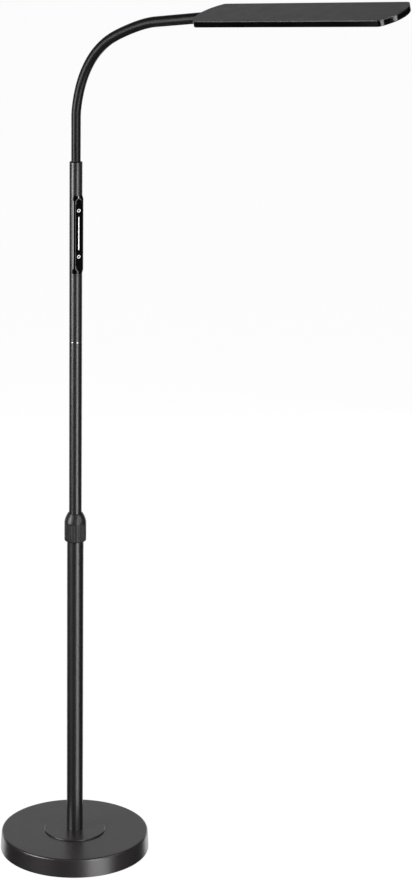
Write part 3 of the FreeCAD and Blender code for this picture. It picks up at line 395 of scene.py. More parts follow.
def placed(data, matrix):
    """Mesh data moved in millimetres."""
    moved = matrix.copy()
    moved.translation *= MM
    data.transform(moved)
    return data


def in_scene(name, data):
    """Object of some data, linked into the scene."""
    thing = bpy.data.objects.new(name, data)
    bpy.context.scene.collection.objects.link(thing)
    return thing


def evaluated(thing):
    """Plain mesh of an object with its modifiers applied."""
    bpy.context.view_layer.update()
    graph = bpy.context.evaluated_depsgraph_get()
    return bpy.data.meshes.new_from_object(thing.evaluated_get(graph))


def crisp(data):
    """Mesh data with doubles merged and crisp edges marked."""
    mesh = bmesh.new()
    mesh.from_mesh(data)
    bmesh.ops.remove_doubles(mesh, verts=mesh.verts, dist=MERGE_GAP)
    return finished_mesh(mesh, data.name)


def carved(data, cutter):
    """Mesh data with a cutter's volume taken out of it."""
    body = in_scene(data.name + "_body", data)
    tool = in_scene(data.name + "_tool", cutter)
    cut = body.modifiers.new("cut", "BOOLEAN")
    cut.operation = "DIFFERENCE"
    cut.solver = "EXACT"
    cut.object = tool
    result = evaluated(body)
    for each in (body, tool):
        bpy.data.objects.remove(each)
    return crisp(result)


def piece(name, data, body, finish, slot, *stands_for):
    """Object of finished mesh data that rides on a body and stands for frame nodes."""
    thing = in_scene(name, data)
    data.materials.clear()
    data.materials.append(finish)
    if body:
        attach(thing, body)
    if stands_for:
        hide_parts(*stands_for)
    return thing


def round_cutter(radius, low, high):
    return turned("round_cutter", [(0, low), (radius, low), (radius, high), (0, high)], SMALL_STEPS)


def block(width, depth, low, high):
    """Box about Z, for cutters."""
    across, along = width / 2, depth / 2
    corners = [(-across, -along), (across, -along), (across, along), (-across, along)]
    return lofted("block", [[(x, y, z) for x, y in corners] for z in (low, high)])


# ---- geometry node trees -----------------------------------------------------------------------
def new_node(tree, kind, **values):
    """Node with its settings and unlinked inputs set by name."""
    made = tree.nodes.new(kind)
    for label, value in values.items():
        if hasattr(made, label):
            setattr(made, label, value)
        else:
            made.inputs[label.replace("_", " ")].default_value = value
    return made


def link_all(tree, *pairs):
    for start, end in pairs:
        tree.links.new(start, end)


def start_tree(name, sizes):
    """Geometry tree with named inputs; returns it with its input node."""
    tree = bpy.data.node_groups.new(name, "GeometryNodeTree")
    tree.interface.new_socket("Geometry", in_out="INPUT", socket_type="NodeSocketGeometry")
    for label, kind in sizes:
        tree.interface.new_socket(label, in_out="INPUT", socket_type="NodeSocket" + kind)
    tree.interface.new_socket("Finish", in_out="INPUT", socket_type="NodeSocketMaterial")
    tree.interface.new_socket("Geometry", in_out="OUTPUT", socket_type="NodeSocketGeometry")
    return tree, tree.nodes.new("NodeGroupInput")


def end_tree(tree, given, shape):
    """Last nodes of every tree: real geometry with its finish set."""
    smooth = tree.nodes.new("GeometryNodeSetShadeSmooth")
    real = tree.nodes.new("GeometryNodeRealizeInstances")
    coloured = tree.nodes.new("GeometryNodeSetMaterial")
    result = tree.nodes.new("NodeGroupOutput")
    link_all(tree, (shape, real.inputs["Geometry"]),
             (real.outputs["Geometry"], smooth.inputs["Geometry"]),
             (smooth.outputs["Geometry"], coloured.inputs["Geometry"]),
             (given.outputs["Finish"], coloured.inputs["Material"]),
             (coloured.outputs["Geometry"], result.inputs["Geometry"]))
    return tree


def grown(name, tree, carrier, values):
    """Plain mesh that a tree makes of a carrier mesh, with the tree's inputs set by identifier."""
    thing = in_scene(name, carrier)
    growth = thing.modifiers.new("growth", "NODES")
    growth.node_group = tree
    for item in tree.interface.items_tree:
        if item.in_out == "INPUT" and item.name in values:
            growth[item.identifier] = values[item.name]
    data = evaluated(thing)
    bpy.data.objects.remove(thing)
    data.name = name
    return data


def math_node(tree, operation, *inputs):
    """Math node whose inputs are numbers or sockets; returns its result."""
    made = new_node(tree, "ShaderNodeMath", operation=operation)
    for socket, value in zip(made.inputs, inputs):
        if isinstance(value, (int, float)):
            socket.default_value = value
        else:
            tree.links.new(value, socket)
    return made.outputs["Value"]


def ramp_node(tree, value, low, high):
    """Smooth rise from 0 at one value to 1 at another."""
    made = new_node(tree, "ShaderNodeMapRange", interpolation_type="SMOOTHSTEP")
    tree.links.new(value, made.inputs["Value"])
    for label, edge in (("From Min", low), ("From Max", high)):
        if isinstance(edge, (int, float)):
            made.inputs[label].default_value = edge
        else:
            tree.links.new(edge, made.inputs[label])
    return made.outputs["Result"]


def ribs_tree():
    """Cuts evenly spaced upright flutes into the wall of a turned nut."""
    tree, given = start_tree("nut_ribs", [("Count", "Int"), ("Depth", "Float"), ("Width", "Float"),
                                          ("Wall Radius", "Float"), ("Low", "Float"), ("High", "Float"),
                                          ("Fade", "Float")])
    size = given.outputs
    place = tree.nodes.new("GeometryNodeInputPosition")
    split = tree.nodes.new("ShaderNodeSeparateXYZ")
    tree.links.new(place.outputs["Position"], split.inputs["Vector"])
    x, y, z = (split.outputs[axis] for axis in "XYZ")

    def calc(operation, *inputs):
        return math_node(tree, operation, *inputs)

    def times(one, other):
        return math_node(tree, "MULTIPLY", one, other)

    radius = calc("SQRT", calc("ADD", times(x, x), times(y, y)))
    turns = calc("DIVIDE", times(calc("ARCTAN2", y, x), size["Count"]), 2 * math.pi)
    offset = calc("SUBTRACT", calc("FRACT", turns), 0.5)
    pitch = calc("DIVIDE", times(size["Wall Radius"], 2 * math.pi), size["Count"])
    distance = times(calc("ABSOLUTE", offset), pitch)
    flute = calc("SUBTRACT", 1.0, ramp_node(tree, distance, 0.0, calc("DIVIDE", size["Width"], 2.0)))
    rise = ramp_node(tree, z, size["Low"], calc("ADD", size["Low"], size["Fade"]))
    fall = ramp_node(tree, z, calc("SUBTRACT", size["High"], size["Fade"]), size["High"])
    inside = times(rise, calc("SUBTRACT", 1.0, fall))
    wall_foot = calc("SUBTRACT", size["Wall Radius"], times(size["Depth"], NUT_RIB_REACH))
    on_wall = calc("GREATER_THAN", radius, wall_foot)
    cut = times(times(flute, inside), times(size["Depth"], on_wall))
    share = calc("DIVIDE", times(cut, -1.0), radius)
    shift = tree.nodes.new("ShaderNodeCombineXYZ")
    move = tree.nodes.new("GeometryNodeSetPosition")
    link_all(tree, (times(x, share), shift.inputs["X"]), (times(y, share), shift.inputs["Y"]),
             (size["Geometry"], move.inputs["Geometry"]),
             (shift.outputs["Vector"], move.inputs["Offset"]))
    return end_tree(tree, given, move.outputs["Geometry"])


def sleeve_tree():
    """Round sleeve along a path of edges, which widens evenly from one end to the other."""
    tree, given = start_tree("neck_sleeve_path", [("Root Radius", "Float"), ("Tip Radius", "Float"),
                                                  ("Rings", "Int"), ("Sides", "Int")])
    path = tree.nodes.new("GeometryNodeMeshToCurve")
    even = new_node(tree, "GeometryNodeResampleCurve", mode="COUNT")
    along = tree.nodes.new("GeometryNodeSplineParameter")
    width = tree.nodes.new("ShaderNodeMapRange")
    sized = tree.nodes.new("GeometryNodeSetCurveRadius")
    circle = new_node(tree, "GeometryNodeCurvePrimitiveCircle", mode="RADIUS", Radius=1.0)
    swept = new_node(tree, "GeometryNodeCurveToMesh", Fill_Caps=True)
    link_all(tree, (given.outputs["Geometry"], path.inputs["Mesh"]),
             (path.outputs["Curve"], even.inputs["Curve"]),
             (given.outputs["Rings"], even.inputs["Count"]),
             (along.outputs["Factor"], width.inputs["Value"]),
             (given.outputs["Root Radius"], width.inputs["To Min"]),
             (given.outputs["Tip Radius"], width.inputs["To Max"]),
             (even.outputs["Curve"], sized.inputs["Curve"]),
             (width.outputs["Result"], swept.inputs["Scale"]),
             (given.outputs["Sides"], circle.inputs["Resolution"]),
             (sized.outputs["Curve"], swept.inputs["Curve"]),
             (circle.outputs["Curve"], swept.inputs["Profile Curve"]))
    sized.inputs["Radius"].default_value = 1.0
    return end_tree(tree, given, swept.outputs["Mesh"])


def coil_tree():
    """Round wire wound into a helix about Z, from the origin up."""
    tree, given = start_tree("coiled_lead_turns", [("Turns", "Float"), ("Coil Radius", "Float"),
                                                   ("Height", "Float"), ("Wire Radius", "Float"),
                                                   ("Turn Steps", "Int"), ("Sides", "Int")])
    helix = tree.nodes.new("GeometryNodeCurveSpiral")
    circle = new_node(tree, "GeometryNodeCurvePrimitiveCircle", mode="RADIUS")
    swept = new_node(tree, "GeometryNodeCurveToMesh", Fill_Caps=True)
    link_all(tree, (given.outputs["Turns"], helix.inputs["Rotations"]),
             (given.outputs["Turn Steps"], helix.inputs["Resolution"]),
             (given.outputs["Coil Radius"], helix.inputs["Start Radius"]),
             (given.outputs["Coil Radius"], helix.inputs["End Radius"]),
             (given.outputs["Height"], helix.inputs["Height"]),
             (given.outputs["Sides"], circle.inputs["Resolution"]),
             (given.outputs["Wire Radius"], circle.inputs["Radius"]),
             (helix.outputs["Curve"], swept.inputs["Curve"]),
             (circle.outputs["Curve"], swept.inputs["Profile Curve"]))
    return end_tree(tree, given, swept.outputs["Mesh"])


def copies_tree():
    """One copy of a part at each point of the carrier mesh."""
    tree, given = start_tree("set_out_copies", [("Part", "Object")])
    part = new_node(tree, "GeometryNodeObjectInfo", transform_space="ORIGINAL")
    copies = tree.nodes.new("GeometryNodeInstanceOnPoints")
    link_all(tree, (given.outputs["Part"], part.inputs["Object"]),
             (given.outputs["Geometry"], copies.inputs["Points"]),
             (part.outputs["Geometry"], copies.inputs["Instance"]))
    return end_tree(tree, given, copies.outputs["Instances"])


def set_out(name, part_data, places, finish):
    """Copies of a part's mesh at places in millimetres, as one crisp mesh."""
    carrier = bpy.data.meshes.new(name + "_places")
    carrier.from_pydata([Vector(place) * MM for place in places], [], [])
    part = in_scene(name + "_part", part_data)
    data = grown(name, copies_tree(), carrier, {"Part": part, "Finish": finish})
    bpy.data.objects.remove(part)
    return crisp(data)


# ---- finishes ----------------------------------------------------------------------------------
def start_finish(name, **fixed):
    """Material with its uniform numbers set; returns it with its tree, shader and surface place."""
    material = bpy.data.materials.new(name)
    material.use_nodes = True
    tree = material.node_tree
    shader = tree.nodes["Principled BSDF"]
    for label, value in fixed.items():
        shader.inputs[label.replace("_", " ")].default_value = value
    place = tree.nodes.new("ShaderNodeTexCoord")
    return material, tree, shader, place.outputs["Object"]


def stretched(tree, place, scale):
    mapping = new_node(tree, "ShaderNodeMapping", Scale=scale)
    tree.links.new(place, mapping.inputs["Vector"])
    return mapping.outputs["Vector"]


def noise(tree, place, per_metre, detail=2.0, roughness=0.5):
    made = new_node(tree, "ShaderNodeTexNoise", Scale=per_metre, Detail=detail, Roughness=roughness)
    tree.links.new(place, made.inputs["Vector"])
    return made.outputs["Fac"]


def cells(tree, place, per_metre):
    made = new_node(tree, "ShaderNodeTexVoronoi", Scale=per_metre)
    tree.links.new(place, made.inputs["Vector"])
    return made.outputs["Distance"]


def tone(tree, shader, value, dark, light, low=NOISE_LOW, high=NOISE_HIGH):
    """Colour between two tones by a value."""
    ramp = tree.nodes.new("ShaderNodeValToRGB")
    for element, position, colour in zip(ramp.color_ramp.elements, (low, high), (dark, light)):
        element.position = position
        element.color = (*colour, 1)
    tree.links.new(value, ramp.inputs["Fac"])
    tree.links.new(ramp.outputs["Color"], shader.inputs["Base Color"])


def gloss(tree, shader, value, least, most):
    """Roughness between two numbers by a value."""
    made = new_node(tree, "ShaderNodeMapRange", From_Min=NOISE_LOW, From_Max=NOISE_HIGH, To_Min=least,
                    To_Max=most)
    tree.links.new(value, made.inputs["Value"])
    tree.links.new(made.outputs["Result"], shader.inputs["Roughness"])


def relief(tree, shader, value, depth, below=None):
    """Bump of a depth in millimetres, on top of another bump if one is given."""
    bump = new_node(tree, "ShaderNodeBump", Strength=1.0, Distance=depth * MM)
    tree.links.new(value, bump.inputs["Height"])
    if below:
        tree.links.new(below, bump.inputs["Normal"])
    tree.links.new(bump.outputs["Normal"], shader.inputs["Normal"])
    return bump.outputs["Normal"]


def satin_black(name, dark, light, least, most, peel, shine=0.9):
    """Satin paint or moulding: slow drift of tone and gloss, soft peel and a fine tooth."""
    material, tree, shader, place = start_finish(name, Specular_IOR_Level=shine)
    tone(tree, shader, noise(tree, place, 14.0, 4.0, 0.6), dark, light)
    gloss(tree, shader, noise(tree, place, 60.0, 3.0), least, most)
    soft = relief(tree, shader, noise(tree, place, 700.0, 1.0), peel)
    relief(tree, shader, noise(tree, place, 5200.0, 1.0), peel / 6, soft)
    return material


def gloss_black():
    """Polished black plastic with a faint flow of the mould and fine handling marks."""
    material, tree, shader, place = start_finish("gloss_black_plastic", Specular_IOR_Level=0.6)
    tone(tree, shader, noise(tree, place, 22.0, 3.0), (0.002, 0.002, 0.002), (0.004, 0.004, 0.004))
    gloss(tree, shader, noise(tree, place, 90.0, 5.0, 0.65), 0.06, 0.10)
    relief(tree, shader, noise(tree, place, 260.0, 1.0), 0.004)
    return material


def bare_metal(name, dark, light, least, most, stretch, lines, depth, **fixed):
    """Metal with fine lines drawn along the axis that the stretch leaves long."""
    material, tree, shader, place = start_finish(name, Metallic=1.0, **fixed)
    drawn = stretched(tree, place, stretch)
    tone(tree, shader, noise(tree, place, 40.0, 4.0), dark, light)
    gloss(tree, shader, noise(tree, drawn, lines, 3.0), least, most)
    relief(tree, shader, noise(tree, drawn, lines, 2.0), depth)
    return material


def cast_iron():
    """Rough casting with pits and rust-brown spots."""
    material, tree, shader, place = start_finish("cast_iron", Metallic=0.85)
    tone(tree, shader, noise(tree, place, 55.0, 6.0, 0.65), (0.10, 0.085, 0.075), (0.17, 0.165, 0.16))
    gloss(tree, shader, noise(tree, place, 180.0, 4.0), 0.50, 0.75)
    sand = relief(tree, shader, noise(tree, place, 900.0, 3.0, 0.6), 0.16)
    relief(tree, shader, noise(tree, place, 160.0, 2.0), 0.35, sand)
    return material


def foam():
    """Closed-cell foam: small round cells and a dull skin."""
    material, tree, shader, place = start_finish("closed_cell_foam", Sheen_Weight=0.1)
    bubbles = cells(tree, place, 1100.0)
    tone(tree, shader, bubbles, (0.024, 0.024, 0.025), (0.040, 0.040, 0.041), 0.1, 0.6)
    gloss(tree, shader, noise(tree, place, 70.0), 0.75, 0.92)
    relief(tree, shader, bubbles, 0.09)
    return material


def pale_plastic(name, dark, light, least, most, grain, grain_scale, **fixed):
    """White or natural moulding with a soft drift and a fine grain."""
    material, tree, shader, place = start_finish(name, **fixed)
    tone(tree, shader, noise(tree, place, 30.0, 4.0), dark, light)
    gloss(tree, shader, noise(tree, place, 120.0, 3.0), least, most)
    relief(tree, shader, noise(tree, place, grain_scale, 2.0), grain)
    return material


def opal():
    """Opal sheet with fine raised cells that spread the light."""
    material, tree, shader, place = start_finish("opal_sheet", Subsurface_Weight=0.3,
                                                 Subsurface_Scale=0.002)
    tone(tree, shader, noise(tree, place, 12.0, 3.0), (0.80, 0.80, 0.77), (0.88, 0.88, 0.86))
    gloss(tree, shader, noise(tree, place, 80.0), 0.42, 0.55)
    relief(tree, shader, cells(tree, place, 1400.0), 0.05)
    return material


def circuit_board(name, dark, light, mask_gloss):
    """Solder mask over copper: rows of tracks as faint raised stripes."""
    material, tree, shader, place = start_finish(name)
    tracks = new_node(tree, "ShaderNodeTexWave", Scale=160.0, Distortion=0.6, Detail=1.0)
    tree.links.new(stretched(tree, place, (0.25, 1.0, 1.0)), tracks.inputs["Vector"])
    tone(tree, shader, tracks.outputs["Fac"], dark, light, 0.4, 0.6)
    gloss(tree, shader, noise(tree, place, 300.0), mask_gloss, mask_gloss + 0.12)
    relief(tree, shader, tracks.outputs["Fac"], 0.03)
    return material


def phosphor():
    """Yellow phosphor with fine grains set in clear resin."""
    material, tree, shader, place = start_finish("led_phosphor", Coat_Weight=0.4, Coat_Roughness=0.1)
    grains = cells(tree, place, 5200.0)
    tone(tree, shader, grains, (0.86, 0.66, 0.12), (0.95, 0.82, 0.34), 0.1)
    gloss(tree, shader, noise(tree, place, 900.0), 0.35, 0.50)
    relief(tree, shader, grains, 0.02)
    return material


POWDER_COAT = satin_black("black_powder_coat", (0.011, 0.011, 0.012), (0.015, 0.014, 0.015), 0.30, 0.34,
                          0.003)
BASE_COAT = satin_black("base_powder_coat", (0.023, 0.020, 0.022), (0.028, 0.024, 0.027), 0.28, 0.32, 0.003)
HEAD_COAT = satin_black("head_satin_coat", (0.018, 0.016, 0.016), (0.022, 0.020, 0.020), 0.34, 0.38, 0.002)
NUT_PLASTIC = satin_black("lock_nut_plastic", (0.014, 0.014, 0.015), (0.018, 0.018, 0.019), 0.34, 0.39,
                          0.003, shine=0.6)
INNER_PLASTIC = satin_black("inner_black_plastic", (0.018, 0.018, 0.019), (0.028, 0.028, 0.029), 0.42, 0.52,
                            0.008)
SLEEVE_RUBBER = satin_black("neck_sleeve_rubber", (0.008, 0.008, 0.009), (0.011, 0.011, 0.012), 0.31, 0.36,
                            0.003, shine=0.28)
LEAD_SHEATH = satin_black("lead_sheath", (0.012, 0.012, 0.012), (0.020, 0.020, 0.020), 0.40, 0.50, 0.008)
GLOSS_BLACK = gloss_black()
ZINC_STEEL = bare_metal("zinc_plated_steel", (0.46, 0.47, 0.48), (0.62, 0.62, 0.60), 0.22, 0.38,
                        (1.0, 1.0, 0.06), 2600.0, 0.006)
SEAM_STEEL = bare_metal("seam_ring_steel", (0.55, 0.55, 0.55), (0.70, 0.70, 0.69), 0.18, 0.28,
                        (0.1, 0.1, 1.0), 3000.0, 0.004)
TURNED_BRASS = bare_metal("turned_brass", (0.62, 0.44, 0.18), (0.80, 0.62, 0.30), 0.20, 0.32,
                          (1.0, 0.08, 0.08), 3000.0, 0.005)
MILL_ALUMINIUM = bare_metal("mill_aluminium", (0.60, 0.61, 0.62), (0.74, 0.74, 0.75), 0.28, 0.45,
                            (0.04, 1.0, 1.0), 1800.0, 0.006)
CAST_IRON = cast_iron()
FOAM = foam()
NYLON = pale_plastic("natural_nylon", (0.66, 0.64, 0.58), (0.76, 0.74, 0.69), 0.38, 0.52, 0.012, 900.0,
                     Subsurface_Weight=0.1, Subsurface_Scale=0.001)
# Printed icons with a painted glow: the emission makes the print shine though nothing lights it from behind.
ICON_PRINT_PAINTED_GLOW = pale_plastic("icon_print", (0.80, 0.80, 0.80), (0.90, 0.90, 0.90), 0.35, 0.50, 0.004, 3000.0,
                          Emission_Color=(1.0, 1.0, 1.0, 1.0), Emission_Strength=0.25)
LIGHT_BAR_WHITE = pale_plastic("light_bar_lens", (0.86, 0.86, 0.86), (0.94, 0.94, 0.94), 0.20, 0.32, 0.003,
                               2000.0, Emission_Color=(1.0, 1.0, 1.0, 1.0), Emission_Strength=0.6)
REFLECTOR_WHITE = pale_plastic("reflector_white", (0.78, 0.78, 0.77), (0.86, 0.86, 0.85), 0.40, 0.55, 0.010,
                               1500.0)
OPAL = opal()
BOARD_GREEN = circuit_board("green_solder_mask", (0.012, 0.085, 0.035), (0.020, 0.14, 0.055), 0.25)
BOARD_WHITE = circuit_board("white_solder_mask", (0.74, 0.74, 0.72), (0.84, 0.84, 0.82), 0.35)
PHOSPHOR = phosphor()


# ---- base --------------------------------------------------------------------------------------
def make_base_cover():
    low, high = span("base_cover")
    foot = high.x
    top = foot - COVER_DRAFT
    under = high.z - COVER_WALL
    outline = rounded([(foot, low.z, COVER_HEM), (top, high.z, COVER_RIM), (COVER_BORE / 2, high.z, 0),
                       (COVER_BORE / 2, under, 0), (top - COVER_WALL, under, 0),
                       (foot - COVER_WALL, low.z, 0)])
    data = turned("base_shell", outline, BASE_STEPS)
    inlet_low, inlet_high = span("power_inlet")
    middle = (inlet_low.z + inlet_high.z) / 2
    hole = round_cutter(INLET_BODY_DIA / 2 + FIT, 0, INLET_HOLE_DEPTH)
    data = carved(data, placed(hole, laid(-foot - INLET_HOLE_START, middle, 1)))
    piece("base_shell", data, "base", BASE_COAT, "black_enamel", "base_cover")


def make_centre_disc():
    low, high = span("base_centre_disc")
    outline = hoop(COVER_BORE / 2, high.x, low.z, high.z, DISC_FOOT, DISC_EDGE)
    piece("centre_disc", turned("centre_disc", outline, BASE_STEPS), "base", BASE_COAT, "black_enamel",
          "base_centre_disc")


def plate_screw_places():
    return [polar((0, 0), PLATE_SCREW_CIRCLE / 2, 2 * math.pi * k / PLATE_SCREW_COUNT)
            for k in range(PLATE_SCREW_COUNT)]


def make_foot_pad():
    """Foam sheet under the base with a soft edge and clear of each screw's head."""
    low, high = span("base_foot_pad")
    data = turned("foam_foot", hoop(0, high.x, low.z, high.z, PAD_EDGE, PAD_EDGE), BASE_STEPS)
    for place in plate_screw_places():
        hole = round_cutter(SCREW_HEAD_DIA * PAD_HOLE_SHARE / 2, low.z - CUT_PAST, high.z + CUT_PAST)
        data = carved(data, placed(hole, Matrix.Translation((place.x, place.y, 0))))
    pad = piece("foam_foot", data, "base", FOAM, "foam", "base_foot_pad")


def screw(name, dia, length, head_dia, head_height):
    """Pan-head screw with a cross recess, its head's underside at the origin and its shank up."""
    outline = rounded([(0, -head_height, 0), (head_dia / 2, -head_height, head_height * SCREW_CROWN),
                       (head_dia / 2, 0, SCREW_FOOT_EDGE), (dia / 2, 0, 0),
                       (dia / 2, length, SCREW_TIP_EDGE), (0, length, 0)])
    data = turned(name, outline, SMALL_STEPS)
    reach, arm = head_dia * SCREW_CROSS_REACH, head_dia * SCREW_CROSS_WIDTH
    for width, depth in ((reach, arm), (arm, reach)):
        data = carved(data, block(width, depth, -head_height - CUT_PAST, -head_height * SCREW_CROSS_FLOOR))
    return data


def make_base_screws():
    low, high = span("base_screws")
    seat = low.z + SCREW_HEAD_HEIGHT
    part = screw("plate_screw", PLATE_SCREW_DIA, high.z - seat, SCREW_HEAD_DIA, SCREW_HEAD_HEIGHT)
    places = [(spot.x, spot.y, seat) for spot in plate_screw_places()]
    piece("plate_screws", set_out("plate_screws", part, places, ZINC_STEEL), "base", ZINC_STEEL, "steel",
          "base_screws")


def make_power_inlet():
    """Round socket at the rear, turned about its own axis and laid along -X."""
    low, high = span("power_inlet")
    length = high.x - low.x
    flange = (high.y - low.y) / 2
    body = INLET_BODY_DIA / 2
    socket = INLET_SOCKET_DIA / 2
    floor = length - INLET_SOCKET_DEPTH
    shoulder = length - INLET_FLANGE_THICK
    outline = rounded([(0, 0, 0), (body, 0, INLET_BODY_EDGE), (body, shoulder, 0),
                       (flange, shoulder, INLET_FLANGE_FOOT_EDGE), (flange, length, INLET_FLANGE_EDGE),
                       (socket, length, INLET_SOCKET_EDGE), (socket, floor, 0), (0, floor, 0)])
    data = turned("inlet_socket", outline, SMALL_STEPS * 2)
    placed(data, laid(high.x, (low.z + high.z) / 2, -1))
    piece("inlet_socket", data, "base", INNER_PLASTIC, "black_plastic", "power_inlet")


# ---- pole --------------------------------------------------------------------------------------
MODULE_TURN = Matrix.Rotation(math.radians(MODULE_AZIMUTH), 4, "Z")
WINDOW_FACE = MODULE_FACE + PANEL_PROUD


def tube(name, node, outer, wall, edge):
    """Tube mesh between the ends of a frame node."""
    low, high = span(node)
    return turned(name, hoop(outer - wall, outer, low.z, high.z, edge, edge))


def make_foot_ring():
    low, high = span("tube_foot_plug")
    tube_low, tube_high = span("lower_tube")
    spigot = tube_high.x - LOWER_TUBE_WALL - FIT
    outline = rounded([(tube_high.x, low.z, RING_FOOT_EDGE), (tube_high.x, tube_low.z, RING_TOP_EDGE),
                       (spigot, tube_low.z, 0), (spigot, high.z, RING_SPIGOT_EDGE),
                       (COVER_BORE / 2, high.z, 0), (COVER_BORE / 2, low.z, 0)])
    piece("pole_foot_ring", turned("pole_foot_ring", outline), "base", POWDER_COAT, "black_enamel",
          "tube_foot_plug")


def make_lower_tube():
    outer = span("lower_tube")[1].x
    data = tube("outer_pole_tube", "lower_tube", outer, LOWER_TUBE_WALL, LOWER_TUBE_EDGE)
    piece("outer_pole_tube", data, "base", POWDER_COAT, "black_enamel", "lower_tube")


def make_upper_tube_lower():
    outer = span("upper_tube_lower")[1].x
    data = tube("sliding_pole_tube", "upper_tube_lower", outer, UPPER_TUBE_WALL, UPPER_TUBE_EDGE)
    piece("sliding_pole_tube", data, "upper_pole", POWDER_COAT, "black_enamel", "upper_tube_lower")


def make_upper_tube_upper():
    """Tube with a window in front, where the control module is let in."""
    outer = span("upper_tube_upper")[1].y
    module_low, module_high = span("control_housing")
    window = block(outer * 2, outer * 3, module_low.z - FIT, module_high.z + FIT)
    shift = Matrix.Translation((outer + MODULE_BACK - FIT, 0, 0))
    data = tube("top_pole_tube", "upper_tube_upper", outer, UPPER_TUBE_WALL, UPPER_TUBE_EDGE)
    data = carved(data, placed(window, MODULE_TURN @ shift))
    piece("top_pole_tube", data, "upper_pole", POWDER_COAT, "black_enamel", "upper_tube_upper")


def make_lock_nut():
    """Twist lock: a smooth shoulder over a ribbed wall, turned and then fluted by the tree."""
    low, high = span("lock_nut")
    outer = high.x
    shoulder = high.z - NUT_DOME
    brow = NUT_UPPER_BORE / 2 + NUT_BROW
    foot = low.z + NUT_CHAMFER
    outline = rounded([(NUT_LOWER_BORE / 2, low.z, 0), (outer - NUT_CHAMFER, low.z, NUT_FOOT_EDGE),
                       (outer, foot, NUT_WALL_EDGE), (outer, shoulder, 0)], closed=False)[:-1]
    outline += [Vector((outer, height)) for height in steps(foot + NUT_WALL_START, shoulder, NUT_WALL_STEPS)]
    middle = Vector((outer - NUT_BULGE, shoulder + NUT_DOME * NUT_BULGE_SHARE))
    outline += arc_through(outline[-1], middle, Vector((brow, high.z)), NUT_DOME_STEPS)[1:]
    bore = NUT_UPPER_BORE / 2
    ring_top = span("compression_ring")[1].z
    outline += [Vector(point) for point in ((bore + NUT_MOUTH, high.z), (bore, high.z - NUT_MOUTH),
                                            (bore, ring_top), (NUT_LOWER_BORE / 2, ring_top))]
    blank = turned("lock_nut_blank", outline, NUT_RIBS * NUT_RIB_STEPS)
    values = {"Count": NUT_RIBS, "Depth": NUT_RIB_DEPTH * MM, "Width": NUT_RIB_WIDTH * MM,
              "Wall Radius": outer * MM, "Low": (low.z - NUT_RIB_FADE) * MM,
              "High": (shoulder - NUT_RIB_TOP) * MM, "Fade": NUT_RIB_FADE * MM, "Finish": NUT_PLASTIC}
    data = crisp(grown("twist_lock", ribs_tree(), blank, values))
    piece("twist_lock", data, "lock_nut", NUT_PLASTIC, "black_plastic", "lock_nut")


def make_ferrule():
    low, high = span("neck_ferrule")
    outer = span("upper_tube_upper")[1].y
    plug = outer - UPPER_TUBE_WALL - FIT
    bore = SLEEVE_ROOT_DIA / 2 + FIT
    groove = outer - FERRULE_GROOVE
    groove_top = FERRULE_PLUG_TOP + FERRULE_GROOVE
    outline = rounded([(bore, low.z, 0), (plug, low.z, 0), (plug, FERRULE_PLUG_TOP, 0),
                       (groove, FERRULE_PLUG_TOP, 0), (groove, groove_top, 0),
                       (outer, groove_top, FERRULE_GROOVE_EDGE),
                       (outer, high.z - FERRULE_CHAMFER, FERRULE_SHOULDER_EDGE),
                       (bore + FERRULE_LIP, high.z, FERRULE_LIP_EDGE), (bore, high.z, FERRULE_BORE_EDGE)])
    piece("neck_collar", turned("neck_collar", outline), "upper_pole", POWDER_COAT, "black_enamel",
          "neck_ferrule")


def make_coiled_lead():
    """Sprung lead inside the outer tube, which stretches as the pole is drawn out."""
    low, high = span("coiled_lead")
    wire = COIL_WIRE_DIA / 2
    height = high.z - low.z - COIL_WIRE_DIA
    seed = bpy.data.meshes.new("coil_seed")
    values = {"Turns": float(COIL_TURNS), "Coil Radius": (high.x - wire) * MM, "Height": height * MM,
              "Wire Radius": wire * MM, "Turn Steps": COIL_TURN_STEPS, "Sides": COIL_WIRE_SIDES,
              "Finish": LEAD_SHEATH}
    data = grown("lead_coil", coil_tree(), seed, values)
    placed(data, Matrix.Translation((0, 0, low.z + wire)))
    coil = piece("lead_coil", crisp(data), None, LEAD_SHEATH, "lead_black", "coiled_lead")
    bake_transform(coil)


# ---- control module ----------------------------------------------------------------------------
def module_section():
    """Points of the module's section with soft corners, evenly enough to be drawn in at its ends."""
    shoulder_half = MODULE_BACK_HALF + MODULE_FLARE
    face_half = shoulder_half - MODULE_BEVEL_WIDTH
    half = [(MODULE_BACK, MODULE_BACK_HALF, MODULE_BACK_EDGE),
            (MODULE_FACE - MODULE_BEVEL, shoulder_half, MODULE_SHOULDER),
            (MODULE_FACE, face_half, MODULE_EDGE)]
    corners = [(x, -y, radius) for x, y, radius in half] + half[::-1]
    outline = rounded(corners)
    points = []
    for here, there in zip(outline, outline[1:] + outline[:1]):
        count = max(1, round((there - here).length / MODULE_SPACING))
        points += [here.lerp(there, k / count) for k in range(count)]
    return points


def make_control_housing():
    """Housing whose section is drawn in to the tube's radius at both ends."""
    low, high = span("control_housing")
    pole = span("upper_tube_lower")[1].x
    end = pole + MODULE_END_STEP
    swell = pole + MODULE_SWELL
    ends = steps(0.0, MODULE_END_TAPER, MODULE_STEPS)
    levels = [(low.z + run, end + (swell - end) * run / MODULE_END_TAPER) for run in ends]
    levels += [(high.z - run, radius) for run, (_, radius) in zip(ends[::-1], levels[::-1])]
    section = module_section()
    rings = [[(MODULE_FACE - MODULE_BEVEL, 0, low.z)]]
    for height, radius in levels:
        rings.append([(*(point * min(1.0, radius / point.length)), height) for point in section])
    rings.append([(MODULE_FACE - MODULE_BEVEL, 0, high.z)])
    data = lofted("control_shell", rings)
    recess = panel_mesh("panel_recess", FIT, MODULE_FACE - PANEL_THICK - FIT, MODULE_FACE + RECESS_FRONT,
                        low.z + PANEL_END, high.z - PANEL_END, 0)
    data = carved(data, recess)
    piece("control_shell", placed(data, MODULE_TURN), "upper_pole", GLOSS_BLACK, "gloss_black",
          "control_housing")


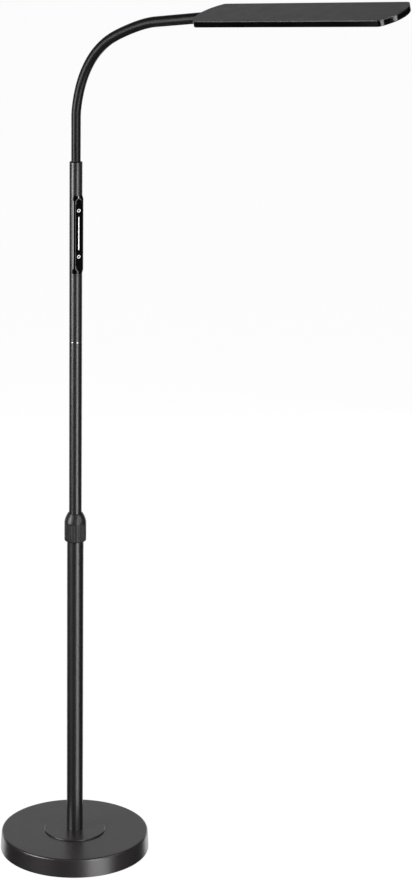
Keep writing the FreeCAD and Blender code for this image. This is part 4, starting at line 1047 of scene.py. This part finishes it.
def panel_mesh(name, grow, back, front, bottom, top, edge):
    """Upright plate with rounded corners that faces +X."""
    half = PANEL_HALF + grow
    height = (top - bottom) / 2 + grow
    profile = rounded([(half / 2, back, 0), (0, back, edge), (0, front, edge), (half / 2, front, 0)], False)
    rings = []
    for inset, depth in profile:
        ring = []
        radius = max(PANEL_CORNER - inset, PANEL_LEAST_CORNER)
        for sign_y, sign_z, first in ((1, 1, 0), (-1, 1, 90), (-1, -1, 180), (1, -1, 270)):
            centre = (sign_y * (half - inset - radius), sign_z * (height - inset - radius))
            for angle in steps(first, first + 90, PANEL_CORNER_STEPS):
                spot = polar(centre, radius, math.radians(angle))
                ring.append((depth, spot.x, (bottom + top) / 2 + spot.y))
        rings.append(ring)
    return lofted(name, rings)


def make_touch_panel():
    low, high = span("touch_panel")
    data = panel_mesh("touch_window", 0.0, MODULE_FACE - PANEL_THICK, WINDOW_FACE, low.z, high.z,
                      PANEL_EDGE)
    piece("touch_window", placed(data, MODULE_TURN), "upper_pole", GLOSS_BLACK, "gloss_black", "touch_panel")


def make_touch_icons():
    """Two printed rings with a painted glow, a hair proud of the window."""
    low, high = span("touch_icons")
    outline = rounded([(ICON_HOLE / 2, 0, 0), (ICON_DIA / 2, 0, 0), (ICON_DIA / 2, ICON_PROUD, ICON_EDGE),
                       (ICON_HOLE / 2, ICON_PROUD, ICON_EDGE)])
    both = bmesh.new()
    for height in (low.z + ICON_DIA / 2, high.z - ICON_DIA / 2):
        ring = turned("icon", outline, SMALL_STEPS)
        both.from_mesh(placed(ring, laid(WINDOW_FACE, height, 1)))
    data = placed(finished_mesh(both, "icon_rings"), MODULE_TURN)
    piece("icon_rings", data, "upper_pole", ICON_PRINT_PAINTED_GLOW, "icon_white", "touch_icons")


def make_light_bar():
    low, high = span("light_bar")
    half = BAR_WIDTH / 2
    rings = []
    for inset, rise in ((0, -BAR_SUNK), (0, ICON_PROUD / 2), (BAR_EDGE, ICON_PROUD)):
        across, foot, top = half - inset, low.z + inset, high.z - inset
        corners = ((-across, foot), (across, foot), (across, top), (-across, top))
        rings.append([(WINDOW_FACE + rise, y, z) for y, z in corners])
    data = placed(lofted("bar_lens", rings), MODULE_TURN)
    piece("bar_lens", data, "upper_pole", LIGHT_BAR_WHITE, "light_bar", "light_bar")


# ---- neck --------------------------------------------------------------------------------------
NECK_JOINTS = [joint for joint in frame["joints"] if joint["name"].startswith("neck_")]


def joint_place(joint):
    return Vector(joint["pos_m"]) / MM


def neck_end():
    """The head's near end and the neck's direction there."""
    axis = Vector(NECK_JOINTS[-1]["axis"])
    onward = Vector((-axis.z, 0, axis.x))
    return joint_place(NECK_JOINTS[-1]) + onward * NECK_TIP_LENGTH, onward


def neck_path():
    """Edges of the neck's smooth centreline, from the joints that bend it."""
    end, onward = neck_end()
    turning = [joint_place(joint) for joint in NECK_JOINTS if "bend" in joint["name"]]
    points = [Vector((0, 0, NECK_SEAT)), joint_place(NECK_JOINTS[0])]
    points += turning + [joint_place(NECK_JOINTS[-1]), end + onward * SLEEVE_OVERLAP]
    curve = bpy.data.curves.new("neck_line", "CURVE")
    curve.dimensions = "3D"
    curve.resolution_u = NECK_LINE_STEPS
    spline = curve.splines.new("NURBS")
    spline.points.add(len(points) - 1)
    for spot, point in zip(spline.points, points):
        spot.co = (*(point * MM), 1.0)
    spline.order_u = NECK_LINE_ORDER
    spline.use_endpoint_u = True
    carrier = in_scene("neck_line", curve)
    data = evaluated(carrier)
    bpy.data.objects.remove(carrier)
    return data


def link_middles():
    """A point in the middle of each neck link and the link's direction."""
    places = [joint_place(joint) for joint in NECK_JOINTS]
    ferrule_top = Vector((0, 0, span("neck_ferrule")[1].z))
    ends = [ferrule_top] + places + [neck_end()[0]]
    return [((here + there) / 2, (there - here).normalized()) for here, there in zip(ends, ends[1:])]


def sleeve_part(whole, name, start, end):
    """Stretch of the sleeve between two cut planes, capped where it was cut."""
    mesh = bmesh.new()
    mesh.from_mesh(whole)
    for cut, toward in ((start, 1), (end, -1)):
        if cut is None:
            continue
        place, direction = cut
        geometry = mesh.verts[:] + mesh.edges[:] + mesh.faces[:]
        found = bmesh.ops.bisect_plane(mesh, geom=geometry, plane_co=place * MM, plane_no=direction * toward,
                                       clear_inner=True, dist=MERGE_GAP)
        rim = [item for item in found["geom_cut"] if isinstance(item, bmesh.types.BMEdge)]
        bmesh.ops.edgeloop_fill(mesh, edges=rim)
    return finished_mesh(mesh, name)


def make_sleeve():
    """Smooth sleeve over the whole neck, cut at the links' middles into one part for each link."""
    values = {"Root Radius": SLEEVE_ROOT_DIA / 2 * MM, "Tip Radius": SLEEVE_TIP_DIA / 2 * MM,
              "Rings": SLEEVE_RINGS, "Sides": SLEEVE_SIDES, "Finish": SLEEVE_RUBBER}
    whole = grown("sleeve", sleeve_tree(), neck_path(), values)
    middles = link_middles()
    count = len(NECK_JOINTS)
    replaced = ["neck_root"] + ["neck_link_%02d" % k for k in range(1, count)] + ["neck_tip"]
    for k in range(count):
        start = middles[k] if k else None
        end = middles[k + 1] if k < count - 1 else None
        name = "sleeve_part_%02d" % (k + 1)
        data = sleeve_part(whole, name, start, end)
        nodes = replaced[k:k + 1] if k < count - 1 else replaced[k:]
        part = piece(name, data, None, SLEEVE_RUBBER, "neck_sleeve", *nodes)
        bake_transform(part)


# ---- head --------------------------------------------------------------------------------------
def head_place():
    """Matrix from the head's own flat axes, its middle at the origin, to its place."""
    end, _ = neck_end()
    pitch = Matrix.Rotation(-math.radians(HEAD_PITCH), 4, "Y")
    roll = Matrix.Rotation(math.radians(HEAD_ROLL), 4, "X")
    return Matrix.Translation(end) @ (pitch @ roll) @ Matrix.Translation((HEAD_LENGTH / 2, 0, HEAD_RISE))


HEAD_PLACE = head_place()
HEAD_TOP = HEAD_THICK / 2
HEAD_BOTTOM = -HEAD_THICK / 2
HEAD_SEAM = HEAD_TOP - HEAD_PLATE_THICK


def head_ring(inset, height):
    """Ring of the head's plan drawn in by an inset: straight sides, round corners and bulged ends."""
    half_width = HEAD_WIDTH / 2
    bulge = (half_width ** 2 + HEAD_SAGITTA ** 2) / (2 * HEAD_SAGITTA)
    middle = HEAD_LENGTH / 2 - bulge
    side = half_width - HEAD_CORNER
    corner = middle + math.sqrt((bulge - HEAD_CORNER) ** 2 - side ** 2)
    meet = math.atan2(side, corner - middle)
    quarter = [polar((corner, side), HEAD_CORNER - inset, angle)
               for angle in steps(math.pi / 2, meet, HEAD_CORNER_STEPS)]
    quarter += [polar((middle, 0), bulge - inset, angle) for angle in steps(meet, 0, HEAD_END_STEPS)][1:]
    half = quarter + [Vector((point.x, -point.y)) for point in quarter[-2::-1]]
    return [(point.x, point.y, height) for point in half] + [(-point.x, -point.y, height) for point in half]


def head_plate(name, inset, bottom, top, lower_edge, upper_edge):
    """Plate of the head's plan with softened edges."""
    middle = inset + HEAD_FACE_INSET
    profile = rounded([(middle, bottom, 0), (inset, bottom, lower_edge), (inset, top, upper_edge),
                       (middle, top, 0)], False)
    return placed(lofted(name, [head_ring(across, up) for across, up in profile]), HEAD_PLACE)


def make_head_top():
    data = head_plate("head_cover", 0.0, HEAD_SEAM, HEAD_TOP, HEAD_SEAM_EDGE, HEAD_PLATE_EDGE)
    piece("head_cover", data, "head", HEAD_COAT, "head_satin", "head_top_plate")


def make_head_shell():
    """Side wall and lip of the head, open below for the opal sheet."""
    floor = HEAD_BOTTOM + HEAD_LIP_THICK
    profile = rounded([(0, HEAD_BOTTOM, HEAD_SHELL_EDGE), (0, HEAD_SEAM, HEAD_SEAM_EDGE),
                       (HEAD_SHELL_WALL, HEAD_SEAM, 0), (HEAD_SHELL_WALL, floor, 0),
                       (HEAD_LIP_WIDTH, floor, 0), (HEAD_LIP_WIDTH, HEAD_BOTTOM, HEAD_LIP_EDGE)])
    data = lofted("head_rim", [head_ring(across, up) for across, up in profile], True)
    piece("head_rim", placed(data, HEAD_PLACE), "head", GLOSS_BLACK, "gloss_black", "head_shell")


def make_diffuser():
    bottom = HEAD_BOTTOM + HEAD_LIP_THICK
    data = head_plate("opal_window", DIFFUSER_INSET, bottom, bottom + DIFFUSER_THICK, DIFFUSER_EDGE,
                      DIFFUSER_EDGE)
    piece("opal_window", data, "head", OPAL, "opal", "diffuser")


def chip_mesh():
    """One light-emitting chip: a small block whose lens is slightly domed, facing down."""
    rings = []
    lens_foot = CHIP_RECESS - CHIP_THICK
    for inset, depth in ((0, 0), (0, -CHIP_THICK), (CHIP_RIM, -CHIP_THICK), (CHIP_LENS_FOOT, lens_foot),
                         (CHIP_LENS_TOP, lens_foot - CHIP_DOME)):
        across, along = CHIP_LENGTH / 2 - inset, CHIP_WIDTH / 2 - inset
        rings.append([(x * across, y * along, depth) for x, y in ((-1, -1), (1, -1), (1, 1), (-1, 1))])
    return lofted("chip", rings)


def make_led_chips():
    board_under = HEAD_SEAM - HEAT_SPREADER_THICK - LED_BOARD_THICK
    first = CHIP_END - HEAD_LENGTH / 2
    places = [(x, CHIP_ROW_GAP * (row - (CHIP_ROWS - 1) / 2), board_under)
              for row in range(CHIP_ROWS) for x in steps(first, -first, CHIP_COUNT - 1)]
    data = set_out("light_chips", chip_mesh(), places, PHOSPHOR)
    piece("light_chips", placed(data, HEAD_PLACE), "head", PHOSPHOR, "led", "led_chips")


# ---- frame nodes that keep their shape ---------------------------------------------------------
KEPT_FINISHES = {
    "base_weight": CAST_IRON, "base_plate": ZINC_STEEL, "pole_nipple": ZINC_STEEL,
    "nipple_washer": ZINC_STEEL, "nipple_nut": ZINC_STEEL, "inlet_contact_pin": TURNED_BRASS,
    "inlet_nut": ZINC_STEEL, "base_lead": LEAD_SHEATH, "collet_body": INNER_PLASTIC,
    "compression_ring": NYLON, "guide_bush": NYLON, "pole_foot_cap": INNER_PLASTIC,
    "bush_stop_ring": ZINC_STEEL, "tube_coupler": SEAM_STEEL, "control_board": BOARD_GREEN,
    "pole_lead": LEAD_SHEATH, "neck_lead": LEAD_SHEATH, "head_screws": ZINC_STEEL,
    "reflector_frame": REFLECTOR_WHITE, "led_board": BOARD_WHITE, "heat_spreader": MILL_ALUMINIUM,
    "neck_anchor": ZINC_STEEL, "tang_screws": ZINC_STEEL,
}


def finish_kept_nodes():
    for name, finish in KEPT_FINISHES.items():
        data = frame["nodes"][name].data
        data.materials.clear()
        data.materials.append(finish)


# ---- camera, lights and stage ------------------------------------------------------------------
def camera_axes():
    """Right, up and forward of the camera in the frame's axes."""
    pan, tilt, roll = (math.radians(angle) for angle in (CAMERA_PAN, CAMERA_TILT, CAMERA_ROLL))
    forward = Vector((math.sin(pan) * math.cos(tilt), math.cos(pan) * math.cos(tilt), -math.sin(tilt)))
    right = Vector((math.cos(pan), -math.sin(pan), 0))
    up = right.cross(forward)
    turn = Matrix.Rotation(math.radians(CAMERA_AZIMUTH), 3, "Z")
    rolled_right = right * math.cos(roll) + up * math.sin(roll)
    rolled_up = up * math.cos(roll) - right * math.sin(roll)
    return turn @ rolled_right, turn @ rolled_up, turn @ forward


def make_camera():
    right, up, forward = camera_axes()
    angle = math.radians(CAMERA_AZIMUTH)
    place = Vector((CAMERA_DISTANCE * math.sin(angle), -CAMERA_DISTANCE * math.cos(angle), CAMERA_HEIGHT))
    camera = bpy.data.cameras.new("camera")
    camera.sensor_width = SENSOR
    camera.lens = SENSOR * FOCAL_PIXELS / IMAGE_HEIGHT
    camera.clip_end = 3 * STAGE_RADIUS * MM
    thing = in_scene("camera", camera)
    turn = Matrix((right, up, -forward)).transposed()
    thing.matrix_world = Matrix.Translation(place * MM) @ turn.to_4x4()
    bpy.context.scene.camera = thing


def softbox(name, azimuth, distance, low, high, width, glow):
    """Upright soft panel that faces the pole, its azimuth counted from the camera towards the right."""
    angle = math.radians(CAMERA_AZIMUTH + azimuth)
    place = Vector((distance * math.sin(angle), -distance * math.cos(angle), (low + high) / 2)) * MM
    light = bpy.data.lights.new(name, "AREA")
    light.shape = "RECTANGLE"
    light.size = width * MM
    light.size_y = (high - low) * MM
    light.energy = glow * math.pi * light.size * light.size_y
    thing = in_scene(name, light)
    toward = Vector((-place.x, -place.y, 0))
    thing.matrix_world = Matrix.Translation(place) @ toward.to_track_quat("-Z", "Y").to_matrix().to_4x4()
    thing.visible_camera = False


def stage_finish(name, dark, light, glow):
    """Pale stage paint with a barely seen drift of tone, lit evenly by its own glow."""
    material, tree, shader, place = start_finish(name, Emission_Color=(1.0, 1.0, 1.0, 1.0),
                                                 Emission_Strength=glow, Specular_IOR_Level=0.0)
    tone(tree, shader, noise(tree, place, 0.4), dark, light)
    return material


def make_stage():
    """Pale floor and a plain pale surround that reflections don't see."""
    size = STAGE_RADIUS
    square = [(x * size, y * size) for x, y in ((-1, -1), (1, -1), (1, 1), (-1, 1))]
    floor = lofted("studio_floor", [[(x, y, z) for x, y in square] for z in (STAGE_UNDER, STAGE_TOP)])
    surround = turned("studio_surround", [(0, -size), (size, -size), (size, size), (0, size)], SMALL_STEPS)
    floor_paint = stage_finish("floor_paint", (0.10, 0.10, 0.10), (0.11, 0.11, 0.11), FLOOR_GLOW)
    surround_paint = stage_finish("surround_paint", (0.0, 0.0, 0.0), (0.01, 0.01, 0.01), SURROUND_GLOW)
    for data, finish in ((floor, floor_paint), (surround, surround_paint)):
        thing = in_scene(data.name, data)
        data.materials.append(finish)
        thing.visible_glossy = False
        thing.visible_diffuse = False
        thing.visible_shadow = False


def make_lights():
    """Panels whose reflections run down the pole, and ones behind and above for the flat tops."""
    for row in SOFT_PANELS:
        softbox(*row)
    world = bpy.data.worlds.new("dim_room")
    world.use_nodes = True
    world.node_tree.nodes["Background"].inputs["Color"].default_value = (ROOM_GLOW, ROOM_GLOW, ROOM_GLOW, 1)
    bpy.context.scene.world = world
    bpy.context.scene.view_settings.view_transform = "Standard"


for make in (make_base_cover, make_centre_disc, make_foot_pad, make_base_screws, make_power_inlet,
             make_foot_ring, make_lower_tube, make_upper_tube_lower, make_upper_tube_upper, make_lock_nut,
             make_ferrule, make_coiled_lead, make_control_housing, make_touch_panel, make_touch_icons,
             make_light_bar, make_sleeve, make_head_top, make_head_shell, make_diffuser, make_led_chips,
             finish_kept_nodes, make_camera, make_lights, make_stage):
    make()
